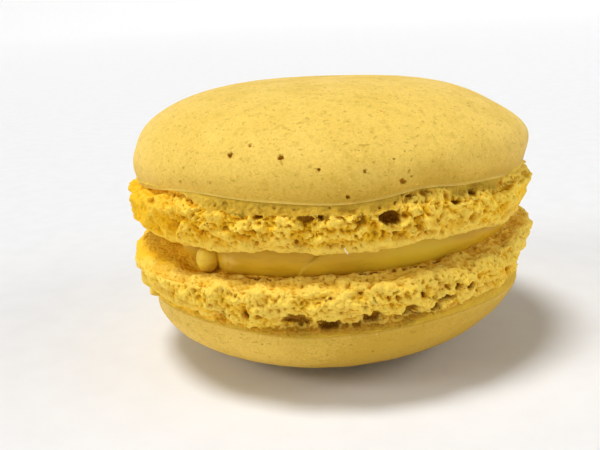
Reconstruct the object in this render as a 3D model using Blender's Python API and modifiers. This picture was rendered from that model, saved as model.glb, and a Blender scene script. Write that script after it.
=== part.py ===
"""A macaron: two baked almond shells with ragged feet, and a piped filling between them.

The lower shell rests level on a small flat spot. The upper shell sits on the filling and leans back,
so that the filling is a thin wedge, tallest at the front. Metres, +Z up, the front faces -Y.
"""

import math
import random

import bmesh
import bpy
from mathutils import Vector, noise

MM = 0.001

# Upper shell, measured in its own frame from the middle of its lower edge
UPPER_TOP = 14.56 * MM
DOME_RADIUS = 21.26 * MM
DOME_WIDEST = 7.03 * MM
DOME_R_POWER = 3.05
DOME_Z_POWER = 1.87
LIP_RADIUS = 20.93 * MM
LIP_HEIGHT = 4.88 * MM
LIP_THICKNESS = 0.25 * MM
BAND_RADIUS = 20.3 * MM
BAND_FOOT = 4.0 * MM
UPPER_FOOT_RADIUS = 21.96 * MM
UPPER_FOOT_WIDEST = 3.3 * MM
UPPER_RIM_RADIUS = 20.2 * MM

# Lower shell, measured from the surface that it rests on
LOWER_SKIN_RADIUS = 19.9 * MM
LOWER_SKIN_HEIGHT = 7.15 * MM
LOWER_R_POWER = 2.56
LOWER_Z_POWER = 2.18
FLAT_RADIUS = 7.0 * MM
LOWER_BAND_RADIUS = 19.65 * MM
LOWER_BAND_TOP = 8.3 * MM
LOWER_FOOT_RADIUS = 22.16 * MM
LOWER_FOOT_WIDEST = 11.6 * MM
LOWER_RIM_HEIGHT = 12.95 * MM
LOWER_RIM_RADIUS = 19.4 * MM

# Filling, a disc of cream piped in a spiral
FILLING_RADIUS = 18.75 * MM
FILLING_START = 16.1 * MM
FILLING_UNDERSIDE = 12.8 * MM
FILLING_EDGE = 0.75 * MM
PIPED_END = math.radians(229)
PIPED_END_SIZE = 0.8 * MM
PIPED_END_SWELL = 0.5 * MM
STEADY_TURN = math.radians(100)

# How the pieces sit on each other
GAP = 0.3 * MM
SEAT_DEPTH = 0.5 * MM
UPPER_PLACE = Vector((0.29, 0.13, 14.53)) * MM
LEAN_BACK = math.radians(2.70)
LEAN_RIGHT = math.radians(0.66)

# Relief: the size of the lumps of a surface, and how far they stand out
STEPS = 124
SKIN_LUMP = 11.0 * MM
SKIN_RELIEF = 0.2 * MM
CROWN_LUMP = 9.0 * MM
CROWN_RELIEF = 0.12 * MM
CRUMB_LUMP = 2.5 * MM
CRUMB_RELIEF = 0.8 * MM
RIM_LUMP = 1.9 * MM
RIM_RELIEF = 0.3 * MM
CREST_LUMP = 2.2 * MM
CREST_RELIEF = 0.45 * MM
RAGGED_WAVE = 2.4 * MM
FLAT_MARGIN = 0.4 * MM
POCKET_SEED = 11
POCKETS_PER_FOOT = 90
POCKET_SIZES = (0.6 * MM, 1.1 * MM)
POCKET_DEPTHS = (0.6, 1.1)
UNIT_HEIGHT = 1.0 * MM
MERGE = 0.01 * MM


def sweep(start, end, r_power, z_power, count):
    """Points of a superellipse quarter that leaves start level and reaches end upright."""
    points = []
    for i in range(count + 1):
        angle = math.pi / 2 * i / count
        r = start[0] + (end[0] - start[0]) * math.sin(angle) ** (2 / r_power)
        z = end[1] + (start[1] - end[1]) * math.cos(angle) ** (2 / z_power)
        points.append((r, z))
    return points


def upper_profile():
    """The upper shell's outline, from the crown down its outer side and back under to the axis."""
    crown = (0.0, UPPER_TOP)
    shoulder = (DOME_RADIUS, DOME_WIDEST)
    lip = (LIP_RADIUS, LIP_HEIGHT)
    band_top = (BAND_RADIUS, LIP_HEIGHT - LIP_THICKNESS)
    band_foot = (BAND_RADIUS, BAND_FOOT)
    foot = (UPPER_FOOT_RADIUS, UPPER_FOOT_WIDEST)
    rim = (UPPER_RIM_RADIUS, 0.0)
    outline = sweep(crown, shoulder, DOME_R_POWER, DOME_Z_POWER, 6)
    outline += [lip, band_top]
    outline += sweep(band_foot, foot, 2, 2, 3)
    outline += sweep(rim, foot, 2.2, 1.7, 7)[-2::-1]
    outline += [(UPPER_RIM_RADIUS - 0.8 * MM, 0.1 * MM)]
    outline += [(UPPER_RIM_RADIUS - 1.1 * MM, SEAT_DEPTH), (UPPER_RIM_RADIUS / 2, SEAT_DEPTH)]
    outline += [(0.0, SEAT_DEPTH)]
    return outline


def lower_profile():
    """The lower shell's outline, from the middle of its seat outwards and down to the flat spot."""
    seat = LOWER_RIM_HEIGHT - SEAT_DEPTH
    rim = (LOWER_RIM_RADIUS, LOWER_RIM_HEIGHT)
    foot = (LOWER_FOOT_RADIUS, LOWER_FOOT_WIDEST)
    band_top = (LOWER_BAND_RADIUS, LOWER_BAND_TOP)
    band_foot = (LOWER_BAND_RADIUS, LOWER_SKIN_HEIGHT + LIP_THICKNESS)
    skin = (LOWER_SKIN_RADIUS, LOWER_SKIN_HEIGHT)
    bottom = (0.0, 0.0)
    outline = [(0.0, seat), (LOWER_RIM_RADIUS / 2, seat), (LOWER_RIM_RADIUS - 0.4 * MM, seat)]
    outline += sweep(rim, foot, 1.3, 2.6, 6)
    outline += sweep(band_top, foot, 1.6, 2.0, 6)[-2::-1]
    outline += [band_foot]
    skin_curve = sweep(bottom, skin, LOWER_R_POWER, LOWER_Z_POWER, 16)[::-1]
    outline += [point for point in skin_curve[::2] if point[0] > FLAT_RADIUS * 1.2]
    outline += [(FLAT_RADIUS, 0.0), (0.0, 0.0)]
    return outline


def filling_profile():
    """The filling's outline at unit height, with its sides rounded; its top is fitted afterwards."""
    top = FILLING_UNDERSIDE + UNIT_HEIGHT
    middle = (FILLING_UNDERSIDE + top) / 2
    inner = FILLING_RADIUS - FILLING_EDGE
    outline = [(0.0, top), (inner / 2, top)]
    outline += sweep((inner, top), (FILLING_RADIUS, middle), 2, 2, 3)
    outline += sweep((inner, FILLING_UNDERSIDE), (FILLING_RADIUS, middle), 2, 2, 3)[-2::-1]
    outline += [(inner / 2, FILLING_UNDERSIDE), (0.0, FILLING_UNDERSIDE)]
    return outline


def turned(name, outline, steps):
    """A mesh object turned from an outline about Z, with the screw applied so that it can be shaped."""
    profile = bpy.data.meshes.new(name + "_profile")
    points = [(r, 0.0, z) for r, z in outline]
    profile.from_pydata(points, [(i, i + 1) for i in range(len(points) - 1)], [])
    guide = bpy.data.objects.new(name + "_guide", profile)
    bpy.context.scene.collection.objects.link(guide)
    screw = guide.modifiers.new("Turn", "SCREW")
    screw.steps = steps
    screw.render_steps = steps
    screw.use_merge_vertices = True
    screw.merge_threshold = MERGE
    bpy.context.view_layer.update()
    evaluated = guide.evaluated_get(bpy.context.evaluated_depsgraph_get())
    mesh = bpy.data.meshes.new_from_object(evaluated)
    bpy.data.objects.remove(guide)
    mesh.name = name
    model = bmesh.new()
    model.from_mesh(mesh)
    bmesh.ops.remove_doubles(model, verts=model.verts, dist=MERGE)
    bmesh.ops.recalc_face_normals(model, faces=model.faces)
    model.to_mesh(mesh)
    model.free()
    return bpy.data.objects.new(name, mesh)


def reshape(obj, move):
    """Moves every vertex to move(point), then splits the faces into triangles."""
    model = bmesh.new()
    model.from_mesh(obj.data)
    for vertex in model.verts:
        vertex.co = move(vertex.co.copy())
    bmesh.ops.triangulate(model, faces=model.faces)
    model.to_mesh(obj.data)
    model.free()
    obj.data.shade_smooth()
    obj.data.set_sharp_from_angle(angle=math.radians(50))


def turn_between(a, b):
    """The shortest signed turn from angle b to angle a."""
    return (a - b + math.pi) % (2 * math.pi) - math.pi


def hump(azimuth, centre, width):
    """A bell of height 1 about an azimuth, both given in degrees."""
    turn = math.degrees(turn_between(azimuth, math.radians(centre)))
    return math.exp(-((turn / width) ** 2))


def fade(value, low, high):
    """0 below low, 1 above high, smooth in between."""
    t = min(max((value - low) / (high - low), 0.0), 1.0)
    return t * t * (3 - 2 * t)


def lip_wave(azimuth):
    """How far the skin's lower lip rises or dips: it hangs lowest at the front and steps up beside it."""
    wave = -0.62 * hump(azimuth, 270, 14) + 0.3 * hump(azimuth, 294, 9) + 0.15 * hump(azimuth, 232, 16)
    wave += 0.1 * math.sin(5 * azimuth + 0.6) + 0.07 * math.sin(9 * azimuth + 2.1)
    return wave * MM


def rim_wave(azimuth):
    """The upper foot's lower edge: nearly level, with one notch at the right of the front."""
    wave = 0.5 * hump(azimuth, 295, 6) + 0.3 * hump(azimuth, 309, 9) - 0.12
    wave += 0.08 * math.sin(7 * azimuth + 1.3) + 0.06 * math.sin(13 * azimuth + 0.4)
    return wave * MM


def joint_wave(azimuth):
    """The line where the lower foot meets the lower skin."""
    wave = 0.45 * hump(azimuth, 222, 18) - 0.2 * hump(azimuth, 260, 12) + 0.12 * hump(azimuth, 310, 25)
    wave += 0.06 * math.sin(6 * azimuth + 0.9)
    return wave * MM


def uneven(azimuth, z, outward, swells):
    """The move of a point by the swells and lifts of its shell."""
    move = Vector((0.0, 0.0, 0.0))
    for centre, width, low, high, swell, lift in swells:
        middle = (low + high) / 2 * MM
        share = hump(azimuth, centre, width) * fade(z, low * MM, middle) * (1 - fade(z, middle, high * MM))
        move += (outward * swell + Vector((0.0, 0.0, lift))) * MM * share
    return move


def lumps(point, size, seed):
    """Smooth unevenness from -1 to 1 with features of the given size."""
    return noise.noise(point / size + Vector((seed, 7.3, 2.9)))


def pockets(seed, radius, low, high, large):
    """Bubble pockets on a foot: (centre, half width, depth). The large ones are placed by azimuth."""
    draw = random.Random(seed)
    found = []
    for azimuth, height, half_width, depth in large:
        turn = math.radians(azimuth)
        centre = Vector((radius * math.cos(turn), radius * math.sin(turn), height * MM))
        found.append((centre, half_width * MM, depth * MM))
    for _ in range(POCKETS_PER_FOOT):
        turn = draw.uniform(0, 2 * math.pi)
        height = draw.uniform(low, high)
        half_width = draw.uniform(*POCKET_SIZES)
        centre = Vector((radius * math.cos(turn), radius * math.sin(turn), height))
        found.append((centre, half_width, half_width * draw.uniform(*POCKET_DEPTHS)))
    return found


def sunk(point, holes):
    """How deep the deepest pocket is at a point."""
    deepest = 0.0
    for centre, half_width, depth in holes:
        apart = (point - centre).length / half_width
        if apart < 1.6:
            deepest = max(deepest, depth * math.exp(-2 * apart * apart))
    return deepest


# Where a shell isn't round: azimuth and width in degrees, lowest and highest point, swell and lift in mm
UPPER_UNEVEN = [(350, 35, 4.9, 12.5, 0.8, 0.0), (191, 30, 1.6, 4.8, 0.0, 0.9), (350, 30, 0.8, 4.6, 0.45, 0.0)]
LOWER_UNEVEN = [(349, 28, 10.6, 14.6, 0.3, 0.9), (349, 40, 4.0, 9.0, 1.0, 0.0),
                (349, 30, 8.6, 11.2, -0.5, 0.0), (191, 30, 8.0, 12.4, -0.5, 0.0)]

# azimuth in degrees, height, half width and depth in mm, of the pockets that stand out
UPPER_LARGE = [(287, 3.5, 1.3, 1.4), (238, 3.3, 0.9, 0.9), (252, 3.0, 1.0, 0.8), (303, 2.9, 0.8, 0.8),
               (36, 3.4, 1.2, 1.2), (88, 3.0, 1.0, 1.0), (141, 3.4, 1.3, 1.2), (166, 2.8, 0.9, 0.9)]
LOWER_LARGE = [(238, 8.9, 1.1, 1.1), (248, 9.0, 1.0, 1.0), (261, 8.8, 1.5, 1.3), (274, 8.6, 1.3, 1.2),
               (283, 8.9, 1.5, 1.4), (291, 8.9, 1.0, 1.0), (305, 9.0, 1.6, 1.4), (318, 9.1, 1.3, 1.2),
               (12, 9.0, 1.3, 1.2), (47, 8.8, 1.5, 1.3), (76, 9.1, 1.1, 1.1), (112, 8.8, 1.4, 1.3),
               (139, 9.0, 1.2, 1.1), (173, 8.9, 1.4, 1.2), (204, 9.0, 1.1, 1.0)]


def shape_upper(point, holes):
    """Relief of the upper shell: shoulder, wavy lip, lumpy foot with pockets, wavy rim."""
    azimuth = math.atan2(point.y, point.x)
    r = math.hypot(point.x, point.y)
    outward = Vector((math.cos(azimuth), math.sin(azimuth), 0.0))
    z = point.z
    if r < UPPER_RIM_RADIUS - 0.6 * MM and z < LIP_HEIGHT:
        return point
    moved = point + uneven(azimuth, z, outward, UPPER_UNEVEN)
    moved += outward * lumps(point, SKIN_LUMP, 3.1) * SKIN_RELIEF * fade(r, 5 * MM, 15 * MM)
    moved.z += lumps(point, CROWN_LUMP, 8.4) * CROWN_RELIEF * fade(z, DOME_WIDEST - MM, DOME_WIDEST + 2 * MM)
    under_lip = fade(z, UPPER_FOOT_WIDEST, LIP_HEIGHT - LIP_THICKNESS)
    moved.z += lip_wave(azimuth) * under_lip * (1 - fade(z, LIP_HEIGHT, DOME_WIDEST + MM))
    on_foot = 1 - fade(z, BAND_FOOT - LIP_THICKNESS, BAND_FOOT + LIP_THICKNESS)
    on_rim = 1 - fade(z, 0.0, 1.2 * MM)
    moved += outward * lumps(point, CRUMB_LUMP, 5.7) * CRUMB_RELIEF * on_foot * (1 - on_rim)
    moved += outward * lumps(point, RIM_LUMP, 1.2) * RIM_RELIEF * on_rim
    moved -= outward * sunk(point, holes) * on_foot
    moved.z += rim_wave(azimuth) * (1 - fade(z, 0.0, RAGGED_WAVE))
    return moved


def shape_lower(point, holes):
    """Relief of the lower shell: lumpy foot, a row of open bubbles above the skin, smooth skin."""
    azimuth = math.atan2(point.y, point.x)
    r = math.hypot(point.x, point.y)
    outward = Vector((math.cos(azimuth), math.sin(azimuth), 0.0))
    z = point.z
    on_seat = r < LOWER_RIM_RADIUS - 0.3 * MM and z > LOWER_SKIN_HEIGHT
    if on_seat or z < FLAT_MARGIN:
        return point
    moved = point + uneven(azimuth, z, outward, LOWER_UNEVEN)
    moved += outward * lumps(point, SKIN_LUMP, 6.6) * SKIN_RELIEF * fade(r, 8 * MM, 15 * MM)
    below_foot = 1 - fade(z, LOWER_BAND_TOP, LOWER_BAND_TOP + RAGGED_WAVE)
    moved.z += joint_wave(azimuth) * fade(z, LOWER_SKIN_HEIGHT / 2, LOWER_SKIN_HEIGHT) * below_foot
    on_foot = fade(z, LOWER_BAND_TOP - 0.5 * MM, LOWER_BAND_TOP + 0.5 * MM)
    on_side = on_foot * (1 - fade(z, LOWER_RIM_HEIGHT - MM, LOWER_RIM_HEIGHT - 0.4 * MM))
    moved += outward * lumps(point, CRUMB_LUMP, 4.4) * CRUMB_RELIEF * on_side
    on_crest = on_foot * fade(r, LOWER_RIM_RADIUS + 0.2 * MM, LOWER_RIM_RADIUS + 1.2 * MM)
    moved.z += lumps(point, CREST_LUMP, 9.1) * CREST_RELIEF * on_crest
    moved -= outward * sunk(point, holes) * on_side
    return moved


def filling_reach(azimuth):
    """The filling's radius over its full one: steady from the piped end, then winding inwards."""
    turn = (azimuth - PIPED_END) % (2 * math.pi)
    drawn_in = fade(turn, STEADY_TURN, 2 * math.pi) * (FILLING_RADIUS - FILLING_START)
    end = math.exp(-(((turn * FILLING_RADIUS - PIPED_END_SIZE) / PIPED_END_SIZE) ** 2))
    return (FILLING_RADIUS - drawn_in + PIPED_END_SWELL * end) / FILLING_RADIUS


def shape_filling(point, upper):
    """Winds the edge in along the spiral and lifts the top to just under the leaning upper shell."""
    azimuth = math.atan2(point.y, point.x)
    reach = filling_reach(azimuth)
    moved = Vector((point.x * reach, point.y * reach, point.z))
    lean = upper.matrix_world.to_3x3() @ Vector((0, 0, 1))
    seat = upper.matrix_world @ Vector((0, 0, SEAT_DEPTH))
    ceiling = seat.z - (lean.x * (moved.x - seat.x) + lean.y * (moved.y - seat.y)) / lean.z - GAP
    share = (point.z - FILLING_UNDERSIDE) / UNIT_HEIGHT
    moved.z = FILLING_UNDERSIDE + (ceiling - FILLING_UNDERSIDE) * share
    return moved


def finish(name, colour, roughness):
    """A plain material in the piece's own colour."""
    material = bpy.data.materials.new(name)
    material.use_nodes = True
    shader = material.node_tree.nodes["Principled BSDF"]
    shader.inputs["Base Color"].default_value = (*colour, 1.0)
    shader.inputs["Roughness"].default_value = roughness
    shader.inputs["Metallic"].default_value = 0.0
    return material


def make_upper(collection, place):
    """The upper shell, leaning back on the filling."""
    shell = turned("upper_shell", upper_profile(), STEPS)
    foot_radius = UPPER_FOOT_RADIUS - 0.4 * MM
    holes = pockets(POCKET_SEED, foot_radius, 1.0 * MM, 3.6 * MM, UPPER_LARGE)
    reshape(shell, lambda point: shape_upper(point, holes))
    shell.data.materials.append(finish("baked_shell", (0.86, 0.56, 0.13), 0.62))
    shell.parent = place
    shell.location = UPPER_PLACE
    shell.rotation_euler = (-LEAN_BACK, LEAN_RIGHT, 0.0)
    collection.objects.link(shell)
    return shell


def make_lower(collection, place):
    """The lower shell, upside down, with its skin on the flat spot."""
    shell = turned("lower_shell", lower_profile(), STEPS)
    foot_radius = LOWER_FOOT_RADIUS - 0.7 * MM
    holes = pockets(POCKET_SEED + 1, foot_radius, 8.4 * MM, 11.6 * MM, LOWER_LARGE)
    reshape(shell, lambda point: shape_lower(point, holes))
    shell.data.materials.append(finish("lower_baked_shell", (0.80, 0.50, 0.12), 0.62))
    shell.parent = place
    collection.objects.link(shell)
    return shell


def make_filling(collection, place, upper):
    """The piped filling, a wedge between the two seats."""
    filling = turned("filling", filling_profile(), STEPS)
    reshape(filling, lambda point: shape_filling(point, upper))
    filling.data.materials.append(finish("lemon_filling", (0.66, 0.42, 0.05), 0.38))
    filling.parent = place
    collection.objects.link(filling)
    return filling


def centre_on_floor(place, pieces):
    """Moves the whole so that the middle of its box is over the origin and its lowest point is at 0."""
    bpy.context.view_layer.update()
    corners = [piece.matrix_world @ vertex.co for piece in pieces for vertex in piece.data.vertices]
    low = [min(corner[axis] for corner in corners) for axis in range(3)]
    high = [max(corner[axis] for corner in corners) for axis in range(3)]
    place.location = (-(low[0] + high[0]) / 2, -(low[1] + high[1]) / 2, -low[2])
    bpy.context.view_layer.update()


def main():
    for obj in list(bpy.data.objects):
        bpy.data.objects.remove(obj)
    collection = bpy.data.collections.new("macaron")
    bpy.context.scene.collection.children.link(collection)
    place = bpy.data.objects.new("macaron_place", None)
    collection.objects.link(place)
    upper = make_upper(collection, place)
    lower = make_lower(collection, place)
    bpy.context.view_layer.update()
    filling = make_filling(collection, place, upper)
    centre_on_floor(place, [upper, lower, filling])


main()
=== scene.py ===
# %% [markdown]
# # A lemon macaron
# A macaron is two baked almond shells with a disc of cream piped between them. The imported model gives
# their true sizes as plain faceted solids. They could be kept and only painted, but a macaron is known by
# its torn, spongy foot, and no paint gives an edge that is ragged against the light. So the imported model
# is loaded as a frame, and every solid in it is replaced with a finer one of the same form. The noise has
# a fixed seed, so that each run bakes the same macaron.

# %% Load the frame
import math
import random

import bmesh
import bpy
import numpy as np
from mathutils import Matrix, Vector, noise


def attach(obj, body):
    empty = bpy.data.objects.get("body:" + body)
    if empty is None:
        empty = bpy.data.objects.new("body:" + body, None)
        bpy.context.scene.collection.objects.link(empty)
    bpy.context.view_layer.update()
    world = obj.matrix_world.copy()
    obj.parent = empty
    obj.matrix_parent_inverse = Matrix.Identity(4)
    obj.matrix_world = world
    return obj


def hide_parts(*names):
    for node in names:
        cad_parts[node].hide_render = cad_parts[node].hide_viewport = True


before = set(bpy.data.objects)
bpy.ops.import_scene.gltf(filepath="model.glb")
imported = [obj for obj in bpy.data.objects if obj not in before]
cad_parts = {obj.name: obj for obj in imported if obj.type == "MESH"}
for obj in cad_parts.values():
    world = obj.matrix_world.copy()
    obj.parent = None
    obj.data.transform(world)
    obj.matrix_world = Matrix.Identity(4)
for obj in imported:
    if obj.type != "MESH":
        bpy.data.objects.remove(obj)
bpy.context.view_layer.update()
MM = 0.001
noise.seed_set(1)
print("nodes of the frame:", sorted(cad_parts))

# %% [markdown]
# ## The driving sizes
# Baked shells are surfaces of revolution with a little chance added, so a few radii and heights say
# nearly everything. Each shell is drawn in its own frame: the upper one from the middle of its lower
# edge, the lower one from the table. The upper shell leans back on the cream, and one matrix puts it
# there. Every length here is in millimetres, and only the meshes are in Blender's metres.

# %% Sizes of the three pieces
UPPER_TOP = 14.56
DOME_RADIUS = 21.26
DOME_WIDEST = 7.03
LIP_RADIUS = 20.93
LIP_HEIGHT = 4.88
LIP_THICKNESS = 0.25
BAND_RADIUS = 20.3
BAND_FOOT = 4.0
UPPER_FOOT_RADIUS = 21.96
UPPER_FOOT_WIDEST = 3.3
UPPER_RIM_RADIUS = 20.2

LOWER_SKIN_RADIUS = 19.9
LOWER_SKIN_HEIGHT = 7.15
FLAT_RADIUS = 7.0
LOWER_BAND_RADIUS = 19.78
LOWER_BAND_TOP = 8.3
LOWER_FOOT_RADIUS = 22.16
LOWER_FOOT_WIDEST = 11.6
LOWER_RIM_HEIGHT = 12.95
LOWER_RIM_RADIUS = 19.4

FILLING_RADIUS = 18.75
FILLING_START = 16.1
FILLING_EDGE = 0.75
SEAT_DEPTH = 0.5
LOWER_SEAT = LOWER_RIM_HEIGHT - SEAT_DEPTH

LEAN_BACK = math.radians(-2.70)
LEAN_RIGHT = math.radians(0.66)
UPPER_SEAT = Vector((0.29, 0.13, 14.53))

corners = np.array([v.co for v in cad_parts["lower_shell"].data.vertices]) / MM
flat_spot = corners[corners[:, 2] < 0.01]
middle = (flat_spot.min(axis=0) + flat_spot.max(axis=0)) / 2
AXIS = Matrix.Translation((middle[0], middle[1], 0.0))
LEAN = Matrix.Rotation(LEAN_RIGHT, 4, "Y") @ Matrix.Rotation(LEAN_BACK, 4, "X")
UPPER_PLACE = AXIS @ Matrix.Translation(UPPER_SEAT) @ LEAN
print("axis of the lower shell in mm:", middle.round(3))

# %% [markdown]
# ## Outlines and turning
# A dome and a foot are flatter or fuller than a circle's arc, so their outlines are quarters of a
# superellipse, whose two powers set how full the curve is. The points are then spaced evenly along the
# outline, because the relief added later needs faces of one size. Bmesh's spin turns the outline. Its
# time grows with the square of the steps, so it turns a sixteenth only, which is then copied and turned
# four times over, doubling each time. Doubles are merged before the normals are made to point out.

# %% Outlines
def sweep(start, end, r_power, z_power, count=60):
    """Points of a superellipse quarter that leaves start level and reaches end upright."""
    angles = [math.pi / 2 * i / count for i in range(count + 1)]
    reach = [math.sin(angle) ** (2 / r_power) for angle in angles]
    rise = [max(math.cos(angle), 0.0) ** (2 / z_power) for angle in angles]
    wide = end[0] - start[0]
    high = start[1] - end[1]
    return [(start[0] + wide * a, end[1] + high * b) for a, b in zip(reach, rise)]


def evenly(outline, spacing):
    """The same outline with points at even distances along it."""
    points = np.array(outline)
    lengths = np.hypot(*np.diff(points, axis=0).T)
    along = np.concatenate([[0.0], np.cumsum(lengths)])
    wanted = np.linspace(0.0, along[-1], round(along[-1] / spacing) + 1)
    return list(zip(np.interp(wanted, along, points[:, 0]), np.interp(wanted, along, points[:, 1])))


# %% Turning an outline
DOUBLINGS = 4
MERGE_DISTANCE = 0.0001 * MM


def made(name, model):
    """A smooth object made of a bmesh, which is freed."""
    mesh = bpy.data.meshes.new(name)
    model.to_mesh(mesh)
    model.free()
    mesh.shade_smooth()
    piece = bpy.data.objects.new(name, mesh)
    bpy.context.scene.collection.objects.link(piece)
    print(f"{name}: {len(mesh.polygons)} faces")
    return piece


def turned(name, outline, steps):
    """A closed piece, spun about Z from an outline of (radius, height)."""
    model = bmesh.new()
    corners = [model.verts.new((r * MM, 0.0, z * MM)) for r, z in outline]
    edges = [model.edges.new(pair) for pair in zip(corners, corners[1:])]
    angle = 2 * math.pi / 2 ** DOUBLINGS
    bmesh.ops.spin(model, geom=corners + edges, cent=(0, 0, 0), axis=(0, 0, 1), dvec=(0, 0, 0),
                   angle=angle, steps=steps // 2 ** DOUBLINGS, use_merge=False)
    for doubling in range(DOUBLINGS):
        parts = bmesh.ops.duplicate(model, geom=model.verts[:] + model.edges[:] + model.faces[:])["geom"]
        copied = [part for part in parts if isinstance(part, bmesh.types.BMVert)]
        bmesh.ops.rotate(model, verts=copied, matrix=Matrix.Rotation(angle * 2 ** doubling, 3, "Z"))
    bmesh.ops.remove_doubles(model, verts=model.verts, dist=MERGE_DISTANCE)
    bmesh.ops.recalc_face_normals(model, faces=model.faces)
    return made(name, model)


# %% [markdown]
# ## Moving many points at once
# A foot has about a hundred thousand vertices. A Python loop over them for every effect would be slow,
# so the coordinates are read into one numpy array, moved by formulas on whole columns, and written back.

# %% Reading and writing coordinates
def rows(items, name, width, kind=float):
    """One property of many vertices or edges, a row for each."""
    flat = np.empty(len(items) * width, dtype=kind)
    items.foreach_get(name, flat)
    return flat.reshape(-1, width)


def read_points(piece):
    """The vertices of a piece as rows of x, y, z in millimetres."""
    return rows(piece.data.vertices, "co", 3) / MM


def read_inward(piece):
    """The direction into the crumb at each vertex."""
    return -rows(piece.data.vertex_normals, "vector", 3)


def write_points(piece, points):
    """Puts rows of x, y, z back into a piece."""
    piece.data.vertices.foreach_set("co", (points * MM).ravel())
    piece.data.update()


def around(points):
    """The azimuth of each point, its distance from the axis, its height and its outward direction."""
    azimuth = np.arctan2(points[:, 1], points[:, 0])
    outward = np.stack([np.cos(azimuth), np.sin(azimuth), np.zeros(len(points))], axis=1)
    return azimuth, np.hypot(points[:, 0], points[:, 1]), points[:, 2].copy(), outward


def along(direction, amount):
    """Each direction times its own amount."""
    return direction * np.asarray(amount)[:, None]


# %% Bells, fades and lumps
FULL_TURN = 2 * math.pi


def bell(value, centre, width):
    """A bell of height 1 about a centre, nearly gone at twice its width from there."""
    return np.exp(-(((value - centre) / width) ** 2))


def turn_from(azimuth, degrees):
    """How far each azimuth lies from one in degrees, up to half a turn to either side."""
    return (azimuth - np.radians(degrees) + math.pi) % FULL_TURN - math.pi


def hump(azimuth, centre, width):
    """A bell about an azimuth, with both numbers in degrees."""
    return bell(np.degrees(turn_from(azimuth, centre)), 0.0, width)


def fade(value, low, high):
    """0 below low, 1 above high, smooth in between."""
    share = np.clip((value - low) / (high - low), 0.0, 1.0)
    return share * share * (3 - 2 * share)


def stretch(azimuth, start, full, ebb, end):
    """1 from full to ebb, fading to 0 at start and at end, all in degrees."""
    turn = (np.degrees(azimuth) - start) % 360
    return fade(turn, 0, full - start) * (1 - fade(turn, ebb - start, end - start))


def lumps(points, size, seed):
    """Smooth unevenness from -1 to 1 with features of the given size."""
    shift = np.array((seed, 7.3, 2.9))
    return np.array([noise.noise(point) for point in (points / size + shift).tolist()])


def pillows(points, size, seed):
    """Round swellings with sharp creases between them, from 0 in a crease to about 1."""
    return np.abs(lumps(points, size, seed)) * 2


def wander(points, size, seed):
    """A shift in a direction that changes from place to place, at most about half a unit long."""
    return np.stack([lumps(points, size, seed + part) for part in (11.5, 12.5, 13.5)], axis=1)


def grains(points, size):
    """Rounded grains: 1 on top of a grain, 0 in the creases between them."""
    apart = np.array([noise.voronoi(point)[0][0] for point in (points / size).tolist()])
    return 1 - np.clip(apart / 0.75, 0.0, 1.0) ** 2


# %% Neighbours
def read_edges(piece):
    """The two vertices of each edge."""
    return rows(piece.data.edges, "vertices", 2, np.int64)


def beside(edges, values):
    """The mean of each vertex's neighbours."""
    count = len(values)
    first, second = edges.T
    total = np.bincount(first, values[second], count) + np.bincount(second, values[first], count)
    return total / np.bincount(edges.ravel(), minlength=count)


def sunk_below(piece, edges, rounds):
    """How far each vertex lies below its surroundings; more rounds look further around it."""
    points = read_points(piece)
    settled = points
    for _ in range(rounds):
        settled = np.stack([beside(edges, settled[:, axis]) for axis in range(3)], axis=1)
    return ((points - settled) * read_inward(piece)).sum(axis=1)


# %% [markdown]
# ## Where the shells aren't round
# Batter spreads by chance: one side of a shell rises more, the lip dips at the front, the foot's edge has
# a notch. These waves are nearly the ones that shaped the solids, so the fine surfaces lie where the
# solids do. Where the picture asked for a little more, the swell is in the lists below.

# %% Waves of the lip, the rim and the joint
def lip_wave(azimuth):
    """How far the skin's lower lip rises or dips."""
    wave = -0.5 * hump(azimuth, 274, 13) + 0.36 * hump(azimuth, 295, 8) + 0.38 * hump(azimuth, 230, 14)
    return wave + 0.07 * np.sin(5 * azimuth + 0.6) + 0.05 * np.sin(9 * azimuth + 2.1)


def rim_wave(azimuth):
    """The lower edge of the upper foot."""
    wave = 0.5 * hump(azimuth, 295, 6) + 0.3 * hump(azimuth, 309, 9) + 0.55 * hump(azimuth, 203, 13) - 0.12
    return wave + 0.08 * np.sin(7 * azimuth + 1.3) + 0.06 * np.sin(13 * azimuth + 0.4)


def joint_wave(azimuth):
    """The line where the lower foot meets the lower skin."""
    wave = 0.45 * hump(azimuth, 222, 18) - 0.2 * hump(azimuth, 260, 12) + 0.12 * hump(azimuth, 310, 25)
    return wave + 0.06 * np.sin(6 * azimuth + 0.9)


# %% Swells of each shell: azimuth and width in degrees, lowest and highest point, swell and lift in mm
UPPER_UNEVEN = [
    (350, 35, 4.9, 11.8, 0.8, 0.0), (191, 30, 1.6, 4.8, 0.0, 0.9), (350, 30, 0.8, 4.6, 0.45, 0.0),
    (222, 4, 2.1, 3.8, 0.5, 0.0), (189, 24, -1.5, 2.2, 0.5, 0.0), (190, 30, 5.6, 11.0, -0.3, 0.0),
    (350, 30, 9.5, 15.0, -0.35, 0.0)]
LOWER_UNEVEN = [
    (349, 28, 10.6, 14.6, 0.6, 0.9), (349, 40, 4.0, 9.0, 1.0, 0.0), (349, 30, 8.6, 11.6, -0.6, 0.0),
    (191, 30, 8.0, 12.4, -0.5, 0.0), (191, 26, 7.2, 10.4, 0.6, 0.0), (191, 26, 6.0, 8.6, 0.4, 0.0),
    (191, 30, 5.6, 8.4, -0.5, 0.0)]


def uneven(azimuth, z, outward, swells):
    """The move of each point by the swells and lifts of its shell."""
    move = np.zeros_like(outward)
    for centre, width, low, high, swell, lift in swells:
        half = (low + high) / 2
        share = hump(azimuth, centre, width) * fade(z, low, half) * (1 - fade(z, half, high))
        move += along(outward, share * swell)
        move[:, 2] += share * lift
    return move


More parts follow.
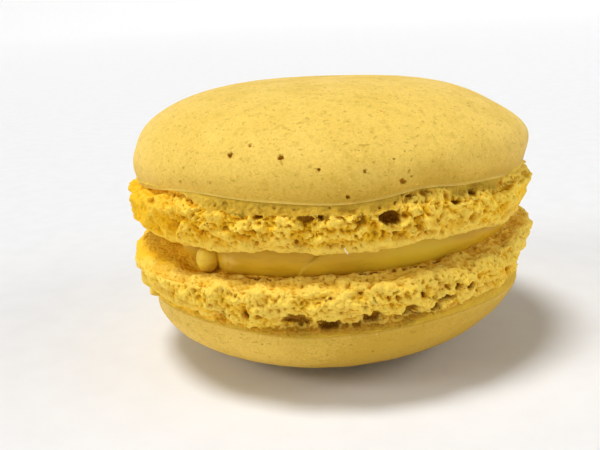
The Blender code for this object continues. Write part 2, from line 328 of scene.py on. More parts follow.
def upper_form(points):
    """The upper shell's form without its crumb: shoulder, wavy lip and wavy rim."""
    azimuth, r, z, outward = around(points)
    moved = points + uneven(azimuth, z, outward, UPPER_UNEVEN)
    moved += along(outward, lumps(points, 11, 3.1) * 0.2 * fade(r, 5, 15))
    moved[:, 2] += lumps(points, 9, 8.4) * 0.12 * fade(z, DOME_WIDEST - 1.0, DOME_WIDEST + 2)
    under_lip = fade(z, UPPER_FOOT_WIDEST, LIP_HEIGHT - LIP_THICKNESS)
    moved[:, 2] += lip_wave(azimuth) * under_lip * (1 - fade(z, LIP_HEIGHT, DOME_WIDEST + 1.0))
    moved[:, 2] += rim_wave(azimuth) * (1 - fade(z, 0.0, 2.4))
    fuller = 0.35 * hump(azimuth, 350, 32) - 0.05 * hump(azimuth, 190, 30)
    moved += along(outward, fuller * bell(z, 5.2, 1.2))
    return moved


def lower_form(points):
    """The lower shell's form without its crumb, level and flat where it rests."""
    azimuth, r, z, outward = around(points)
    free = fade(z, 0.4, 0.41)
    moved = points + along(uneven(azimuth, z, outward, LOWER_UNEVEN), free)
    moved += along(outward, lumps(points, 11, 6.6) * 0.2 * fade(r, 8, 15) * free)
    below_foot = 1 - fade(z, LOWER_BAND_TOP, LOWER_BAND_TOP + 2.4)
    moved[:, 2] += joint_wave(azimuth) * fade(z, LOWER_SKIN_HEIGHT / 2, LOWER_SKIN_HEIGHT) * below_foot
    above_joint = bell(z, 8.0, 1.0)
    band = fade(z, LOWER_SKIN_HEIGHT, LOWER_SKIN_HEIGHT + 0.3) * above_joint
    fuller = 0.65 * above_joint + 0.1 * band - 0.25 * bell(z, 6.0, 0.8)
    moved += along(outward, fuller * hump(azimuth, 345, 34))
    return moved


# %% [markdown]
# ## Opening bubbles
# The foot is baked foam. Where it tears, round bubbles lie open. A Boolean with thousands of spheres
# would be slow and fragile, so each vertex is pushed straight into the crumb until it leaves every
# bubble that its path meets. A bubble that lies too deep to break the surface stays shut. Two rounds
# let one bubble open into the next, which is what makes the large cavities jagged.

# %% Carving
FILM = 0.03


def carve(points, inward, bubbles, deepest):
    """How far each point goes inwards through the open bubbles, given as (centre, radius)."""
    azimuth = np.arctan2(points[:, 1], points[:, 0]) % FULL_TURN
    order = np.argsort(azimuth)
    ordered = azimuth[order]
    depth = np.zeros(len(points))
    for centre, radius in bubbles * 2:
        turn = math.atan2(centre[1], centre[0]) % FULL_TURN
        width = 1.1 * radius / math.hypot(centre[0], centre[1])
        for lap in (-FULL_TURN, 0.0, FULL_TURN):
            first, last = np.searchsorted(ordered, (turn + lap - width, turn + lap + width))
            if first == last:
                continue
            near = order[first:last]
            offset = points[near] - centre
            ahead = -(offset * inward[near]).sum(axis=1)
            gap = radius ** 2 - (offset ** 2).sum(axis=1) + ahead ** 2
            half = np.sqrt(np.maximum(gap, 0.0))
            is_open = (gap > 0) & (ahead - half <= depth[near] + FILM) & (ahead + half > depth[near])
            depth[near] = np.where(is_open, ahead + half, depth[near])
    return np.minimum(depth, deepest)


# %% Choosing bubbles
OUTSIDE = 19.0


def chance_bubbles(points, inward, rough, draw, count, smallest, largest):
    """Bubbles just under points drawn at random, most of them where the surface is rough."""
    picks = draw.integers(0, len(points), count * 3)
    picks = picks[draw.random(len(picks)) < rough[picks]][:count]
    radii = smallest + (largest - smallest) * draw.random(len(picks)) ** 2
    sunk = radii * draw.uniform(0.25, 0.85, len(picks))
    return list(zip(points[picks] + along(inward[picks], sunk), radii))


def placed_bubbles(points, inward, places):
    """Bubbles on the outside at chosen places: azimuth in degrees, height, radius and how far sunk."""
    azimuth, r, z, _ = around(points)
    found = []
    for degrees, height, radius, sunk in places:
        apart = (turn_from(azimuth, degrees) * r) ** 2 + (z - height) ** 2
        apart[r < OUTSIDE] = np.inf
        nearest = np.argmin(apart)
        found.append((points[nearest] + inward[nearest] * sunk, radius))
    return found


# %% [markdown]
# ## The large dents and cavities
# Under the fine bubbles, the solids have broad dents where whole pockets of foam fell in. They are
# repeated here from the same seeds, though shallower, and the fine crumb lies on them. Where a pocket
# tore open there is a cavity with steep walls. It is an ellipsoid whose rim is made ragged by noise.

# %% Dents and cavities of the feet: azimuth in degrees, then mm
UPPER_LARGE = [
    (238, 3.3, 0.9, 0.9), (252, 3.0, 1.0, 0.8), (303, 2.9, 0.8, 0.8), (36, 3.4, 1.2, 1.2),
    (88, 3.0, 1.0, 1.0), (141, 3.4, 1.3, 1.2), (166, 2.8, 0.9, 0.9)]
LOWER_LARGE = [
    (238, 8.9, 1.1, 1.1), (248, 9.0, 1.0, 1.0), (261, 8.8, 1.5, 1.3), (274, 8.6, 1.3, 1.2),
    (283, 8.9, 1.5, 1.4), (291, 8.9, 1.0, 1.0), (305, 9.0, 1.6, 1.4), (318, 9.1, 1.3, 1.2),
    (12, 9.0, 1.3, 1.2), (47, 8.8, 1.5, 1.3), (76, 9.1, 1.1, 1.1), (112, 8.8, 1.4, 1.3),
    (139, 9.0, 1.2, 1.1), (173, 8.9, 1.4, 1.2), (204, 9.0, 1.1, 1.0)]
CHANCE_DENTS = 90


def dents(points, seed, radius, low, high, large):
    """How deep the broad dents of a foot are at each point."""
    draw = random.Random(seed)
    places = [(math.radians(degrees), *sizes) for degrees, *sizes in large]
    for _ in range(CHANCE_DENTS):
        turn = draw.uniform(0, FULL_TURN)
        height = draw.uniform(low, high)
        width = draw.uniform(0.6, 1.1)
        places.append((turn, height, width, width * draw.uniform(0.6, 1.1)))
    deepest = np.zeros(len(points))
    for turn, height, width, depth in places:
        centre = np.array((radius * math.cos(turn), radius * math.sin(turn), height))
        apart = np.linalg.norm(points - centre, axis=1) / width
        deepest = np.maximum(deepest, depth * np.exp(-2 * apart ** 2))
    return deepest


def cavities(points, seed, places):
    """How deep each point lies in cavities of given azimuth, height, half width, half height and depth."""
    azimuth, r, z, _ = around(points)
    ragged = 0.55 * lumps(points, 0.8, seed) + 0.4 * lumps(points, 0.35, seed + 3)
    deepest = np.zeros(len(points))
    for degrees, height, half_width, half_height, depth in places:
        apart = (turn_from(azimuth, degrees) * r / half_width) ** 2 + ((z - height) / half_height) ** 2
        inside = np.clip(1 + ragged - apart, 0.0, 1.0)
        deepest = np.maximum(deepest, depth * np.sqrt(inside))
    return deepest


# %% [markdown]
# ## Tearing a foot
# One function turns a smooth foot into crumb, and both feet use it. Clumps and folds come first, then
# bubbles of several sizes, then grains like those of ground almonds. Where bubbles meet, single vertices
# can be left standing like hairs, so any depth far from its neighbours' mean is pulled back to it.

# %% The crumb
CLUMP = 1.6
KNOB = 0.9
BIT = 0.42
GRAIN = 0.34
COARSE_GRAIN = 0.7
DEEPEST = 1.9
LONE_HAIR = 0.22
HAIR_ROUNDS = 2
GRAIN_HEIGHT = 0.2


def torn(points, inward, edges, rough, seed, bubble_counts, places, clumps, folds):
    """Points of a smooth foot moved into torn crumb; clumps and folds are how far those stand out."""
    lying = points * np.array((1.0, 1.0, 1.5))
    ridges = 0.5 - np.hypot(pillows(lying, KNOB, seed + 4), 0.2)
    swelling = clumps * lumps(lying, CLUMP, seed) + folds * ridges + 0.25 * lumps(points, BIT, seed + 2)
    points = points - along(inward, rough * swelling)
    points[:, 2] += rough * 0.1 * lumps(points, KNOB, seed + 9)
    draw = np.random.default_rng(seed)
    bubbles = placed_bubbles(points, inward, places)
    for count, smallest, largest in bubble_counts:
        bubbles += chance_bubbles(points, inward, rough, draw, count, smallest, largest)
    depth = carve(points + wander(points, 0.45, seed) * 0.3, inward, bubbles, DEEPEST)
    for _ in range(HAIR_ROUNDS):
        usual = beside(edges, depth)
        depth = np.where(np.abs(depth - usual) > LONE_HAIR, usual, depth)
    grain = 0.7 * grains(points + along(inward, depth), GRAIN) + 0.3 * grains(points, COARSE_GRAIN)
    return points + along(inward, depth - rough * GRAIN_HEIGHT * (grain - 0.5))


def gathered(piece, share):
    """Draws the steps of a turned piece closer together at the front, where it is seen from near by."""
    points = read_points(piece)
    azimuth, r, _, _ = around(points)
    azimuth -= share * np.cos(azimuth)
    points[:, 0] = r * np.cos(azimuth)
    points[:, 1] = r * np.sin(azimuth)
    write_points(piece, points)


def mark(piece, name, values):
    """Stores one number for each vertex, for the material to read."""
    attribute = piece.data.attributes.new(name, "FLOAT", "POINT")
    attribute.data.foreach_set("value", np.asarray(values, dtype=np.float32))


def mark_hollows(piece, edges, scoop):
    """Marks how hollow each vertex lies: in a cavity, below its wider surroundings, and in a fine crease."""
    mark(piece, "cavity", np.clip(scoop / 0.8, 0, 1))
    mark(piece, "hollow", np.clip(sunk_below(piece, edges, 70) / 0.4, -1, 1))
    mark(piece, "crease", np.clip(sunk_below(piece, edges, 6) / 0.07, -1, 1))


def set_down(piece, place):
    """Moves a finished piece to its place, a matrix in millimetres."""
    in_metres = place.copy()
    in_metres.translation *= MM
    piece.data.transform(in_metres)


# %% [markdown]
# ## The upper foot
# Under the lip there is a narrow smooth band, and below it the batter rose and tore. The torn edge
# wanders, so the line where crumb starts is bent by fine noise. Near the lower rim the batter dried
# before it tore and left a pale film: there the crumb is gentler.

# %% Turn the upper foot
INSIDE_SKIN = 5.4
FRONT_SHARE = 0.28
UPPER_STEPS = 1296
CRUMB_TOP = BAND_FOOT - 0.02
upper_band = [(LIP_RADIUS - 0.4, LIP_HEIGHT + 0.5), (LIP_RADIUS - 0.15, LIP_HEIGHT + 0.06),
              (LIP_RADIUS - 0.02, BAND_FOOT + 0.6), (LIP_RADIUS + 0.22, BAND_FOOT + 0.25)]
upper_side = sweep((LIP_RADIUS + 0.5, CRUMB_TOP), (UPPER_FOOT_RADIUS, UPPER_FOOT_WIDEST), 2, 1.6)
upper_side += sweep((UPPER_RIM_RADIUS, 0.0), (UPPER_FOOT_RADIUS, UPPER_FOOT_WIDEST), 2.2, 1.7)[-2::-1]
upper_rim = [(UPPER_RIM_RADIUS - 0.8, 0.1), (UPPER_RIM_RADIUS - 1.1, SEAT_DEPTH)]
upper_outline = [(0.0, INSIDE_SKIN), (BAND_RADIUS - 1.0, INSIDE_SKIN)]
upper_outline += evenly(upper_band + [upper_side[0]], 0.14)[:-1] + evenly(upper_side, 0.103)
upper_outline += evenly([upper_side[-1]] + upper_rim, 0.2)[1:] + [(0.0, SEAT_DEPTH)]
upper_foot = turned("upper_foot", upper_outline, UPPER_STEPS)
gathered(upper_foot, FRONT_SHARE)

# %% Its cavities and bubbles that show
UPPER_CAVITIES = [
    (285.1, 3.0, 1.15, 0.62, 1.7), (277.7, 2.95, 0.95, 0.55, 0.5), (264.6, 3.35, 0.85, 0.5, 0.9),
    (268.3, 3.5, 0.55, 0.42, 0.8), (218.7, 3.6, 0.7, 0.36, 0.6), (230.1, 2.87, 0.6, 0.36, 0.4),
    (224.7, 3.75, 0.45, 0.22, 0.35), (206, 4.1, 0.6, 0.35, 0.35), (227, 2.05, 0.6, 0.3, 0.42),
    (252.9, 3.55, 0.5, 0.3, 0.8), (309.5, 4.1, 0.5, 0.4, 0.9), (303.1, 3.6, 0.6, 0.28, 0.9),
    (316.4, 4.4, 0.4, 0.26, 0.5), (294.7, 4.6, 0.6, 0.25, 0.6), (290.4, 4.4, 0.6, 0.3, 0.6),
    (36, 3.2, 1.1, 0.6, 1.0), (66, 2.4, 0.6, 0.4, 0.6), (88, 3.1, 0.9, 0.5, 0.9),
    (141, 3.3, 1.2, 0.55, 1.1), (166, 2.8, 0.8, 0.45, 0.8), (12, 2.7, 0.7, 0.4, 0.7),
    (113, 2.1, 0.7, 0.4, 0.6)]
UPPER_BUBBLES = [
    (277.9, 3.6, 0.3, 0.27), (234.7, 1.41, 0.3, 0.22), (237.1, 1.3, 0.25, 0.17), (225.5, 1.6, 0.35, 0.22),
    (247.2, 2.0, 0.3, 0.22), (248.5, 1.67, 0.32, 0.22), (249.7, 1.4, 0.3, 0.22), (251.7, 0.85, 0.25, 0.17),
    (244.5, 2.18, 0.4, 0.17), (261.1, 2.79, 0.22, 0.22), (259.2, 2.2, 0.25, 0.22),
    (261.7, 0.96, 0.36, 0.22), (267.4, 1.69, 0.25, 0.22), (271.6, 2.0, 0.25, 0.22),
    (277.2, 1.4, 0.24, 0.27), (285.7, 1.15, 0.3, 0.24), (292.1, 4.41, 0.34, 0.27), (296.1, 5.0, 0.3, 0.22),
    (302.6, 3.62, 0.28, 0.27), (303.8, 3.66, 0.24, 0.22), (296.7, 3.43, 0.25, 0.22),
    (292.3, 3.3, 0.24, 0.24), (309.1, 2.22, 0.26, 0.22), (313.1, 2.84, 0.24, 0.22),
    (322.6, 3.96, 0.22, 0.12), (240.9, 4.3, 0.3, 0.07), (248.8, 3.8, 0.3, 0.24)]

# %% [markdown]
# The crumb's strength is a number from 0 on smooth skin to 1 on torn crumb. It is worked out before the
# tearing, from each point's height and a little noise, and kept as an attribute for the material.

# %% Where the upper foot is torn
FLUSH_LEFT = (150, 180, 214, 230)

points = read_points(upper_foot)
azimuth, r, z, outward = around(points)
inward = read_inward(upper_foot)
edges = read_edges(upper_foot)
edge = BAND_FOOT - 0.22 + 0.26 * lumps(points, 1.3, 2.2) + 0.2 * lumps(points, 0.5, 5.5)
edge += 0.85 * stretch(azimuth, 285, 290, 298, 304) + 0.3 * stretch(azimuth, 298, 304, 560, 600)
edge += 0.6 * stretch(azimuth, 318, 326, 365, 385) + 0.95 * stretch(azimuth, 150, 165, 224, 240)
crumb_share = 1 - fade(z, edge - 0.1, edge + 0.12)
band_share = 1 - crumb_share
near_rim = 1 - fade(z + 0.9 * lumps(points, 2.6, 7.1), 0.5, 1.9)
patch = fade(lumps(points, 3.6, 4.2) + 0.5 * hump(azimuth, 303, 7) - 0.35 * hump(azimuth, 288, 6), 0.22, 0.5)
film_share = np.maximum(near_rim, 0.8 * patch) * crumb_share
shown = r >= UPPER_RIM_RADIUS - 0.6
at_right = stretch(azimuth, 318, 335, 375, 400)

# %% [markdown]
# At the sides the band lies flush with the lip, and at the right the foot swells out under it. The cavities
# and the broken groove below the band are cut straight towards the axis, so that their walls stay steep.

# %% Form of the upper foot before it tears
on_rim = 1 - fade(z, 0.0, 1.2)
stands_out = lumps(points, 2.5, 5.7) * 0.45 - 0.2 - 0.15 * hump(azimuth, 345, 22)
outwards = stands_out * crumb_share * (1 - on_rim) + 0.25 * lumps(points, 1.9, 1.2) * on_rim
outwards += 0.48 * at_right * fade(z, 3.2, 4.1) * (1 - fade(z, 4.7, 4.95))
flush = np.maximum(stretch(azimuth, *FLUSH_LEFT), at_right) * band_share
outwards += flush * fade(z, BAND_FOOT - 0.2, LIP_HEIGHT - 0.3) * np.maximum(LIP_RADIUS - r + 0.04, 0)
broad = dents(points, 11, UPPER_FOOT_RADIUS - 0.4, 1.0, 3.6, UPPER_LARGE) * crumb_share
scoop = cavities(points, 4.4, UPPER_CAVITIES) * np.maximum(crumb_share, 0.6 * (z < LIP_HEIGHT - 0.5))
under_edge = bell(z, edge - 0.3, 0.22) * fade(lumps(points, 0.9, 8.8), 0.0, 0.35)
cut = 0.6 * broad + scoop + 0.4 * under_edge * crumb_share * (1 - 0.8 * at_right)
shaped = upper_form(points) + along(outward, outwards * shown - cut)

# %% Tear the upper foot
UPPER_CHANCE = ((900, 0.1, 0.2), (260, 0.16, 0.3), (40, 0.3, 0.5))

rough_band = 0.6 * (1 - fade(z, edge + 0.3, LIP_HEIGHT + 0.1))
rough_band *= (0.4 + 0.6 * stretch(azimuth, 228, 245, 320, 340)) * (1 - near_rim)
rough = np.maximum(crumb_share * (1 - 0.5 * film_share), rough_band)
rough *= (1 - 0.7 * fade(scoop, 0.2, 0.7)) * (1 - 0.5 * stretch(azimuth, 165, 185, 212, 232)) * shown
rough *= (1 - 0.35 * at_right) * (0.6 + 0.4 * fade(z, 0.1, 0.8))
folds = 0.34 - 0.22 * stretch(azimuth, 298, 312, 390, 420)
shaped = torn(shaped, inward, edges, rough, 21, UPPER_CHANCE, UPPER_BUBBLES, 0.8, folds)
write_points(upper_foot, shaped)
mark_hollows(upper_foot, edges, scoop)
# The inner mark paints the crumb deep golden at the left and on the underside between the shells; on the
# underside it is painted shade.
golden = 0.95 * hump(azimuth, 204, 26) * crumb_share
pale_left = stretch(azimuth, 150, 180, 225, 245)
mark(upper_foot, "inner", np.maximum(golden, 1 - fade(r, 18, UPPER_RIM_RADIUS)))
mark(upper_foot, "film", np.maximum(film_share * (1 - 0.8 * hump(azimuth, 204, 28)), pale_left * band_share))
mark(upper_foot, "band", band_share * (1 - 0.7 * pale_left) * (1 - 0.7 * at_right))
mark(upper_foot, "torn", rough)
set_down(upper_foot, UPPER_PLACE)
print(f"upper foot: {np.mean(rough > 0.5):.0%} of it torn")

# %% [markdown]
# ## The lower foot
# The lower shell lies upside down, so its foot is on top. What shows is its broad sloping face, dried to a
# fine pale crumb, and the side below it, where the largest bubbles lie open in a row above the skin.

# %% Turn the lower foot
LOWER_INSIDE = 6.6
LOWER_STEPS = 1024
WIDEST = (LOWER_FOOT_RADIUS, LOWER_FOOT_WIDEST)
lower_top = [(LOWER_RIM_RADIUS - 4.0, LOWER_SEAT - 0.1), (LOWER_RIM_RADIUS - 2.4, LOWER_SEAT),
             (LOWER_RIM_RADIUS - 1.0, LOWER_SEAT + 0.26), (LOWER_RIM_RADIUS - 0.4, LOWER_RIM_HEIGHT - 0.08)]
lower_side = sweep((LOWER_RIM_RADIUS, LOWER_RIM_HEIGHT), WIDEST, 1.3, 2.6)
lower_side += sweep((LOWER_BAND_RADIUS, LOWER_BAND_TOP), WIDEST, 1.6, 2.0)[-2::-1]
lower_side += [(LOWER_BAND_RADIUS, LOWER_SKIN_HEIGHT - 0.2)]
lower_outline = [(0.0, LOWER_SEAT)] + evenly(lower_top[:3], 0.4)[:-1]
lower_outline += evenly(lower_top[2:] + [lower_side[0]], 0.14)[:-1]
lower_outline += evenly(lower_side, 0.115)
lower_outline += [(LOWER_BAND_RADIUS - 1.0, LOWER_INSIDE), (0.0, LOWER_INSIDE)]
lower_foot = turned("lower_foot", lower_outline, LOWER_STEPS)
gathered(lower_foot, FRONT_SHARE)

# %% Its cavities and bubbles that show
LOWER_CAVITIES = [
    (261.2, 9.15, 1.35, 1.05, 0.85), (264.5, 9.2, 0.45, 0.5, 0.5), (269.8, 8.45, 1.1, 0.9, 0.85),
    (274.2, 8.0, 0.45, 0.4, 0.4), (277.6, 7.9, 0.55, 0.4, 0.5), (281.6, 8.9, 1.05, 1.0, 0.8),
    (291.3, 9.1, 1.05, 1.0, 0.8), (295, 8.4, 0.45, 0.4, 0.4), (241.6, 9.4, 0.6, 0.4, 0.7),
    (248.6, 9.9, 0.45, 0.4, 0.6), (252, 9.8, 0.5, 0.42, 0.6), (313.2, 9.5, 0.6, 0.42, 0.9),
    (309.2, 10.36, 0.6, 0.4, 0.7), (303.6, 11.1, 0.5, 0.36, 0.8), (325.6, 10.4, 0.5, 0.4, 0.7),
    (293.3, 10.9, 0.45, 0.32, 0.7)]
SLIT = [(298.5, 9.0), (298.7, 9.4), (299.6, 9.75), (300.9, 9.95), (302.3, 9.95), (303.6, 9.85)]
LOWER_CAVITIES += [(degrees, height, 0.5, 0.42, 1.2) for degrees, height in SLIT]
BACK_CAVITIES = range(-25, 232, 9)
draw = random.Random(8)
for degrees in BACK_CAVITIES:
    spot = (degrees + draw.uniform(-4, 4), draw.uniform(8.1, 9.4))
    LOWER_CAVITIES.append((*spot, draw.uniform(0.5, 1.15), draw.uniform(0.35, 0.7), draw.uniform(0.5, 1.0)))
LOWER_BUBBLES = [
    (262.3, 8.9, 0.42, 0.42), (260.2, 8.6, 0.3, 0.47), (268.6, 8.1, 0.42, 0.42), (270.4, 8.5, 0.36, 0.42),
    (271, 7.75, 0.3, 0.37), (277.3, 7.6, 0.28, 0.27), (281.8, 8.7, 0.34, 0.42), (290.8, 9.0, 0.34, 0.42),
    (292.6, 8.4, 0.3, 0.37), (315.4, 9.1, 0.45, 0.22), (317.9, 9.0, 0.4, 0.22), (319.3, 11, 0.3, 0.17),
    (303.3, 11.3, 0.36, 0.22), (306, 10.9, 0.3, 0.22), (306.3, 11.4, 0.25, 0.22), (257.6, 12.54, 0.2, 0.22),
    (258.6, 12.6, 0.24, 0.24), (259.7, 12.62, 0.24, 0.24), (260.6, 12.7, 0.18, 0.22),
    (277, 12.3, 0.22, 0.22), (278.2, 12.16, 0.24, 0.24), (285.2, 11.85, 0.26, 0.24),
    (286.4, 11.7, 0.2, 0.22), (291.3, 11.5, 0.26, 0.24), (292.6, 11.3, 0.22, 0.22), (284.2, 11, 0.22, 0.22),
    (284.4, 10.5, 0.22, 0.22), (263.2, 11.4, 0.24, 0.22), (261.6, 10.65, 0.24, 0.22),
    (239.1, 10.42, 0.3, 0.22), (262.7, 9.77, 0.25, 0.22), (270.3, 11.54, 0.22, 0.22),
    (266, 12.8, 0.22, 0.24), (274.4, 12.75, 0.2, 0.22), (294.7, 12.85, 0.25, 0.24),
    (249.8, 12.4, 0.2, 0.22), (243.2, 12.2, 0.22, 0.22), (237.1, 11.9, 0.22, 0.22), (298, 12, 0.26, 0.22),
    (295.5, 12.4, 0.2, 0.22), (256.3, 12.6, 0.26, 0.22), (264.8, 12.77, 0.24, 0.22),
    (279.7, 12.74, 0.26, 0.22), (287.5, 12.7, 0.22, 0.22), (249.5, 12.83, 0.22, 0.22),
    (269.5, 12.67, 0.22, 0.22), (277.9, 12, 0.24, 0.24), (286.6, 11.31, 0.26, 0.24),
    (285.5, 10.21, 0.24, 0.24), (257.7, 10.23, 0.24, 0.24)]

# %% Where the lower foot is torn
points = read_points(lower_foot)
azimuth, r, z, outward = around(points)
inward = read_inward(lower_foot)
edges = read_edges(lower_foot)
edge = LOWER_SKIN_HEIGHT + 0.4 + 0.28 * lumps(points, 1.2, 3.2) + 0.15 * lumps(points, 0.5, 6.5)
edge += 0.5 * hump(azimuth, 300, 7) + stretch(azimuth, 303, 320, 345, 380)
crumb_share = fade(z, edge - 0.12, edge + 0.12)
dried = fade(lumps(points, 3.0, 6.1), 0.05, 0.4)
film_share = crumb_share * np.maximum(0.7 * dried, 0.4 * fade(z, 11.2, 12.3))
shown = (r >= LOWER_RIM_RADIUS - 4.1) | (z <= LOWER_SKIN_HEIGHT)
on_face = z > 11
on_side = crumb_share * (1 - fade(z, LOWER_RIM_HEIGHT - 1.0, LOWER_RIM_HEIGHT - 0.4))
on_crest = crumb_share * fade(r, LOWER_RIM_RADIUS + 0.2, LOWER_RIM_RADIUS + 1.2)

# %% [markdown]
# The face of the foot isn't level: it was pressed down in some places and held up by the cream in others,
# mostly at the left. At the front the foam broke away in patches below the cream, and in a row above the
# skin.

# %% Form of the lower foot before it tears
CREAM_EDGE = 19.15

upwards = 0.3 * lumps(points, 2.2, 9.1) * on_crest
pressed = 0.6 * hump(azimuth, 226, 13) + 0.2 * hump(azimuth, 250, 14)
upwards -= pressed * fade(r, 17.4, 18.6) * fade(z, 12, 12.6)
for centre, width, sunk, start in ((203, 20, 0.5, 20.4), (188, 16, 0.6, 20.6)):
    upwards -= sunk * hump(azimuth, centre, width) * fade(r, start, start + 1.2) * fade(z, 11.2, 12)
upwards -= 0.3 * hump(azimuth, 192, 24) * fade(r, 18.2, 19.2) * (1 - fade(r, 20.4, 21.6))
held_up = stretch(azimuth, 160, 180, 214, 228) * fade(r, 15.4, 17) * (1 - fade(r, 17.2, 21))
upwards += held_up * on_face
cream_edge = CREAM_EDGE + 1.1 * hump(azimuth, 340, 24) + 0.1 * lumps(points, 0.8, 3.6)
beneath = bell(r, cream_edge, 0.35) * stretch(azimuth, 240, 258, 306, 320) * on_face
beneath *= fade(lumps(points, 0.7, 5.3) + 0.25 * stretch(azimuth, 262, 285, 300, 310), 0.0, 0.25)
sideways = lumps(points, 2.5, 4.4) * 0.45 - 0.2 - 0.35 * hump(azimuth, 197, 26) * fade(z, 8.2, 10)
broad = dents(points, 12, LOWER_FOOT_RADIUS - 0.7, 8.4, 11.6, LOWER_LARGE) * on_side
row = stretch(azimuth, 250, 258, 300, 308) * crumb_share * (1 - fade(z, 8.6, 10.2))
scoop = 1.3 * cavities(points, 6.2, LOWER_CAVITIES) * crumb_share
shaped = np.where(shown[:, None], lower_form(points), points)
shaped += along(outward, sideways * on_side - 0.4 * broad - scoop - 0.35 * row)
shaped[:, 2] += upwards - 0.45 * beneath
# The cavity mark also takes the groove beside the cream and the zone under the overhanging crest, which are
# painted dark as painted shade.
scoop = np.maximum(scoop, np.maximum(fade(beneath, 0.08, 0.35), 0.3 * row))

# %% Tear the lower foot
LOWER_CHANCE = ((1100, 0.09, 0.19), (240, 0.15, 0.28), (20, 0.28, 0.42))

# Under the upper shell at the left the face is painted deep golden: partly cream-soaked crumb, partly
# painted shade.
shaded_moist_edge = LOWER_RIM_RADIUS + 2.7 * hump(azimuth, 186, 36) + 0.3 * lumps(points, 1.5, 3.9)
moist_and_shade = (1 - fade(r, shaded_moist_edge - 0.9, shaded_moist_edge)) * on_face
sides = np.maximum(stretch(azimuth, 165, 185, 212, 236), 0.7 * stretch(azimuth, 322, 338, 380, 400))
on_top = fade(z, LOWER_RIM_HEIGHT - 0.7, LOWER_RIM_HEIGHT - 0.1)
rough = crumb_share * (1 - 0.4 * film_share) * (1 - 0.35 * on_top) * (1 - 0.45 * np.maximum(moist_and_shade, sides))
rough *= (1 - 0.75 * fade(scoop, 0.35, 0.6)) * shown
shaped = torn(shaped, inward, edges, rough, 31, LOWER_CHANCE, LOWER_BUBBLES, 0.6, 0.12)
write_points(lower_foot, shaped)
mark_hollows(lower_foot, edges, scoop)
# Amber in the crease just above the joint with the skin: painted shade.
joint_crease_shade = bell(z, edge + 0.3, 0.45) * stretch(azimuth, 192, 206, 246, 258)
golden = moist_and_shade * (0.3 + 0.7 * hump(azimuth, 205, 35))
mark(lower_foot, "inner", np.maximum(golden, 0.7 * joint_crease_shade * crumb_share))
mark(lower_foot, "film", film_share)
mark(lower_foot, "band", 1 - crumb_share)
mark(lower_foot, "torn", rough)
set_down(lower_foot, AXIS)
print(f"lower foot: {np.mean(rough > 0.5):.0%} of it torn")

# %% [markdown]
# ## The upper skin
# The dome dries into a thin smooth skin before the oven lifts it, and its lower edge hangs over the foot as
# a crisp lip. The outline ends in a small bead for that lip and turns in under itself, so the skin is a
# closed body whose hidden side lies inside the foot.

# %% Turn the upper skin
LIP_BEAD = 0.1
UPPER_SKIN_STEPS = 592


def lip_outline():
    """From the shoulder down to the lip, round its bead and in under it."""
    fall = [i / 30 for i in range(1, 31)]
    side = [(DOME_RADIUS - (DOME_RADIUS - LIP_RADIUS + LIP_BEAD) * t ** 1.8,
             DOME_WIDEST + (LIP_HEIGHT + LIP_BEAD - DOME_WIDEST) * t) for t in fall]
    centre = (LIP_RADIUS - LIP_BEAD, LIP_HEIGHT + LIP_BEAD * 0.6)
    turns = [math.radians(a) for a in range(10, -100, -18)]
    bead = [(centre[0] + LIP_BEAD * math.cos(a), centre[1] + LIP_BEAD * math.sin(a)) for a in turns]
    return side + bead + [(BAND_RADIUS - 0.05, LIP_HEIGHT - 0.02), (BAND_RADIUS - 1.0, LIP_HEIGHT)]


dome_outline = evenly(sweep((0.0, UPPER_TOP), (DOME_RADIUS, DOME_WIDEST), 3.05, 1.87), 0.3)
dome_outline += evenly([dome_outline[-1]] + lip_outline(), 0.09)[1:] + [(0.0, LIP_HEIGHT)]
upper_skin = turned("upper_skin", dome_outline, UPPER_SKIN_STEPS)

# %% [markdown]
# Steam left a few pinholes in the skin. The dome's faces are larger than a pinhole, so the faces round
# each one are subdivided first, and then the same carving as in the foot sinks them.

# %% Pinholes of the upper skin: azimuth, height, radius and sink
PINHOLES = [
    (245.5, 9.04, 0.27, 0.12), (250.5, 9.78, 0.2, 0.03), (258.9, 8.71, 0.28, 0.12), (268, 7.53, 0.14, 0.08),
    (278.9, 7.41, 0.18, 0.08), (274.6, 5.09, 0.22, 0.12), (288.2, 6.2, 0.24, 0.08),
    (288.9, 6.05, 0.22, 0.1), (290.4, 6.52, 0.13, 0.06), (290, 7.0, 0.14, 0.02), (286.5, 8.14, 0.12, 0.02),
    (231.6, 7.63, 0.14, 0.0), (229.7, 6.26, 0.14, 0.02), (240, 6.42, 0.12, 0.02), (30, 8.1, 0.22, 0.1),
    (62, 6.3, 0.26, 0.1), (104, 9.2, 0.2, 0.08), (131, 6.9, 0.24, 0.1), (158, 8.4, 0.18, 0.06),
    (334, 7.3, 0.16, 0.06)]
HOLE_CUTS = 4
HOLE_DEPTH = 0.35


def refine(piece, centres, reach):
    """Subdivides the faces of a piece within reach of any centre."""
    model = bmesh.new()
    model.from_mesh(piece.data)
    middles = np.array([edge.verts[0].co + edge.verts[1].co for edge in model.edges]) / 2 / MM
    apart = np.min([np.linalg.norm(middles - centre, axis=1) for centre in centres], axis=0)
    close = [edge for edge, distance in zip(model.edges, apart) if distance < reach]
    bmesh.ops.subdivide_edges(model, edges=close, cuts=HOLE_CUTS, use_grid_fill=True)
    model.to_mesh(piece.data)
    model.free()
    piece.data.shade_smooth()
    print(f"{piece.name}: {len(close)} edges refined, {len(piece.data.polygons)} faces now")


def opened(piece, points, pinholes, reach):
    """Writes the points of a skin and refines it round its pinholes, which are given back as bubbles."""
    write_points(piece, points)
    holes = placed_bubbles(points, read_inward(piece), pinholes)
    refine(piece, [centre for centre, _ in holes], reach)
    return holes


def pricked(piece, points, inward, depth, lip):
    """Sinks the skin by its depth and marks its pinholes and its lip."""
    write_points(piece, points + along(inward, depth))
    mark(piece, "hollow", np.clip(depth / HOLE_DEPTH, 0, 1))
    mark(piece, "lip", lip)


holes = opened(upper_skin, upper_form(read_points(upper_skin)), PINHOLES, 0.75)

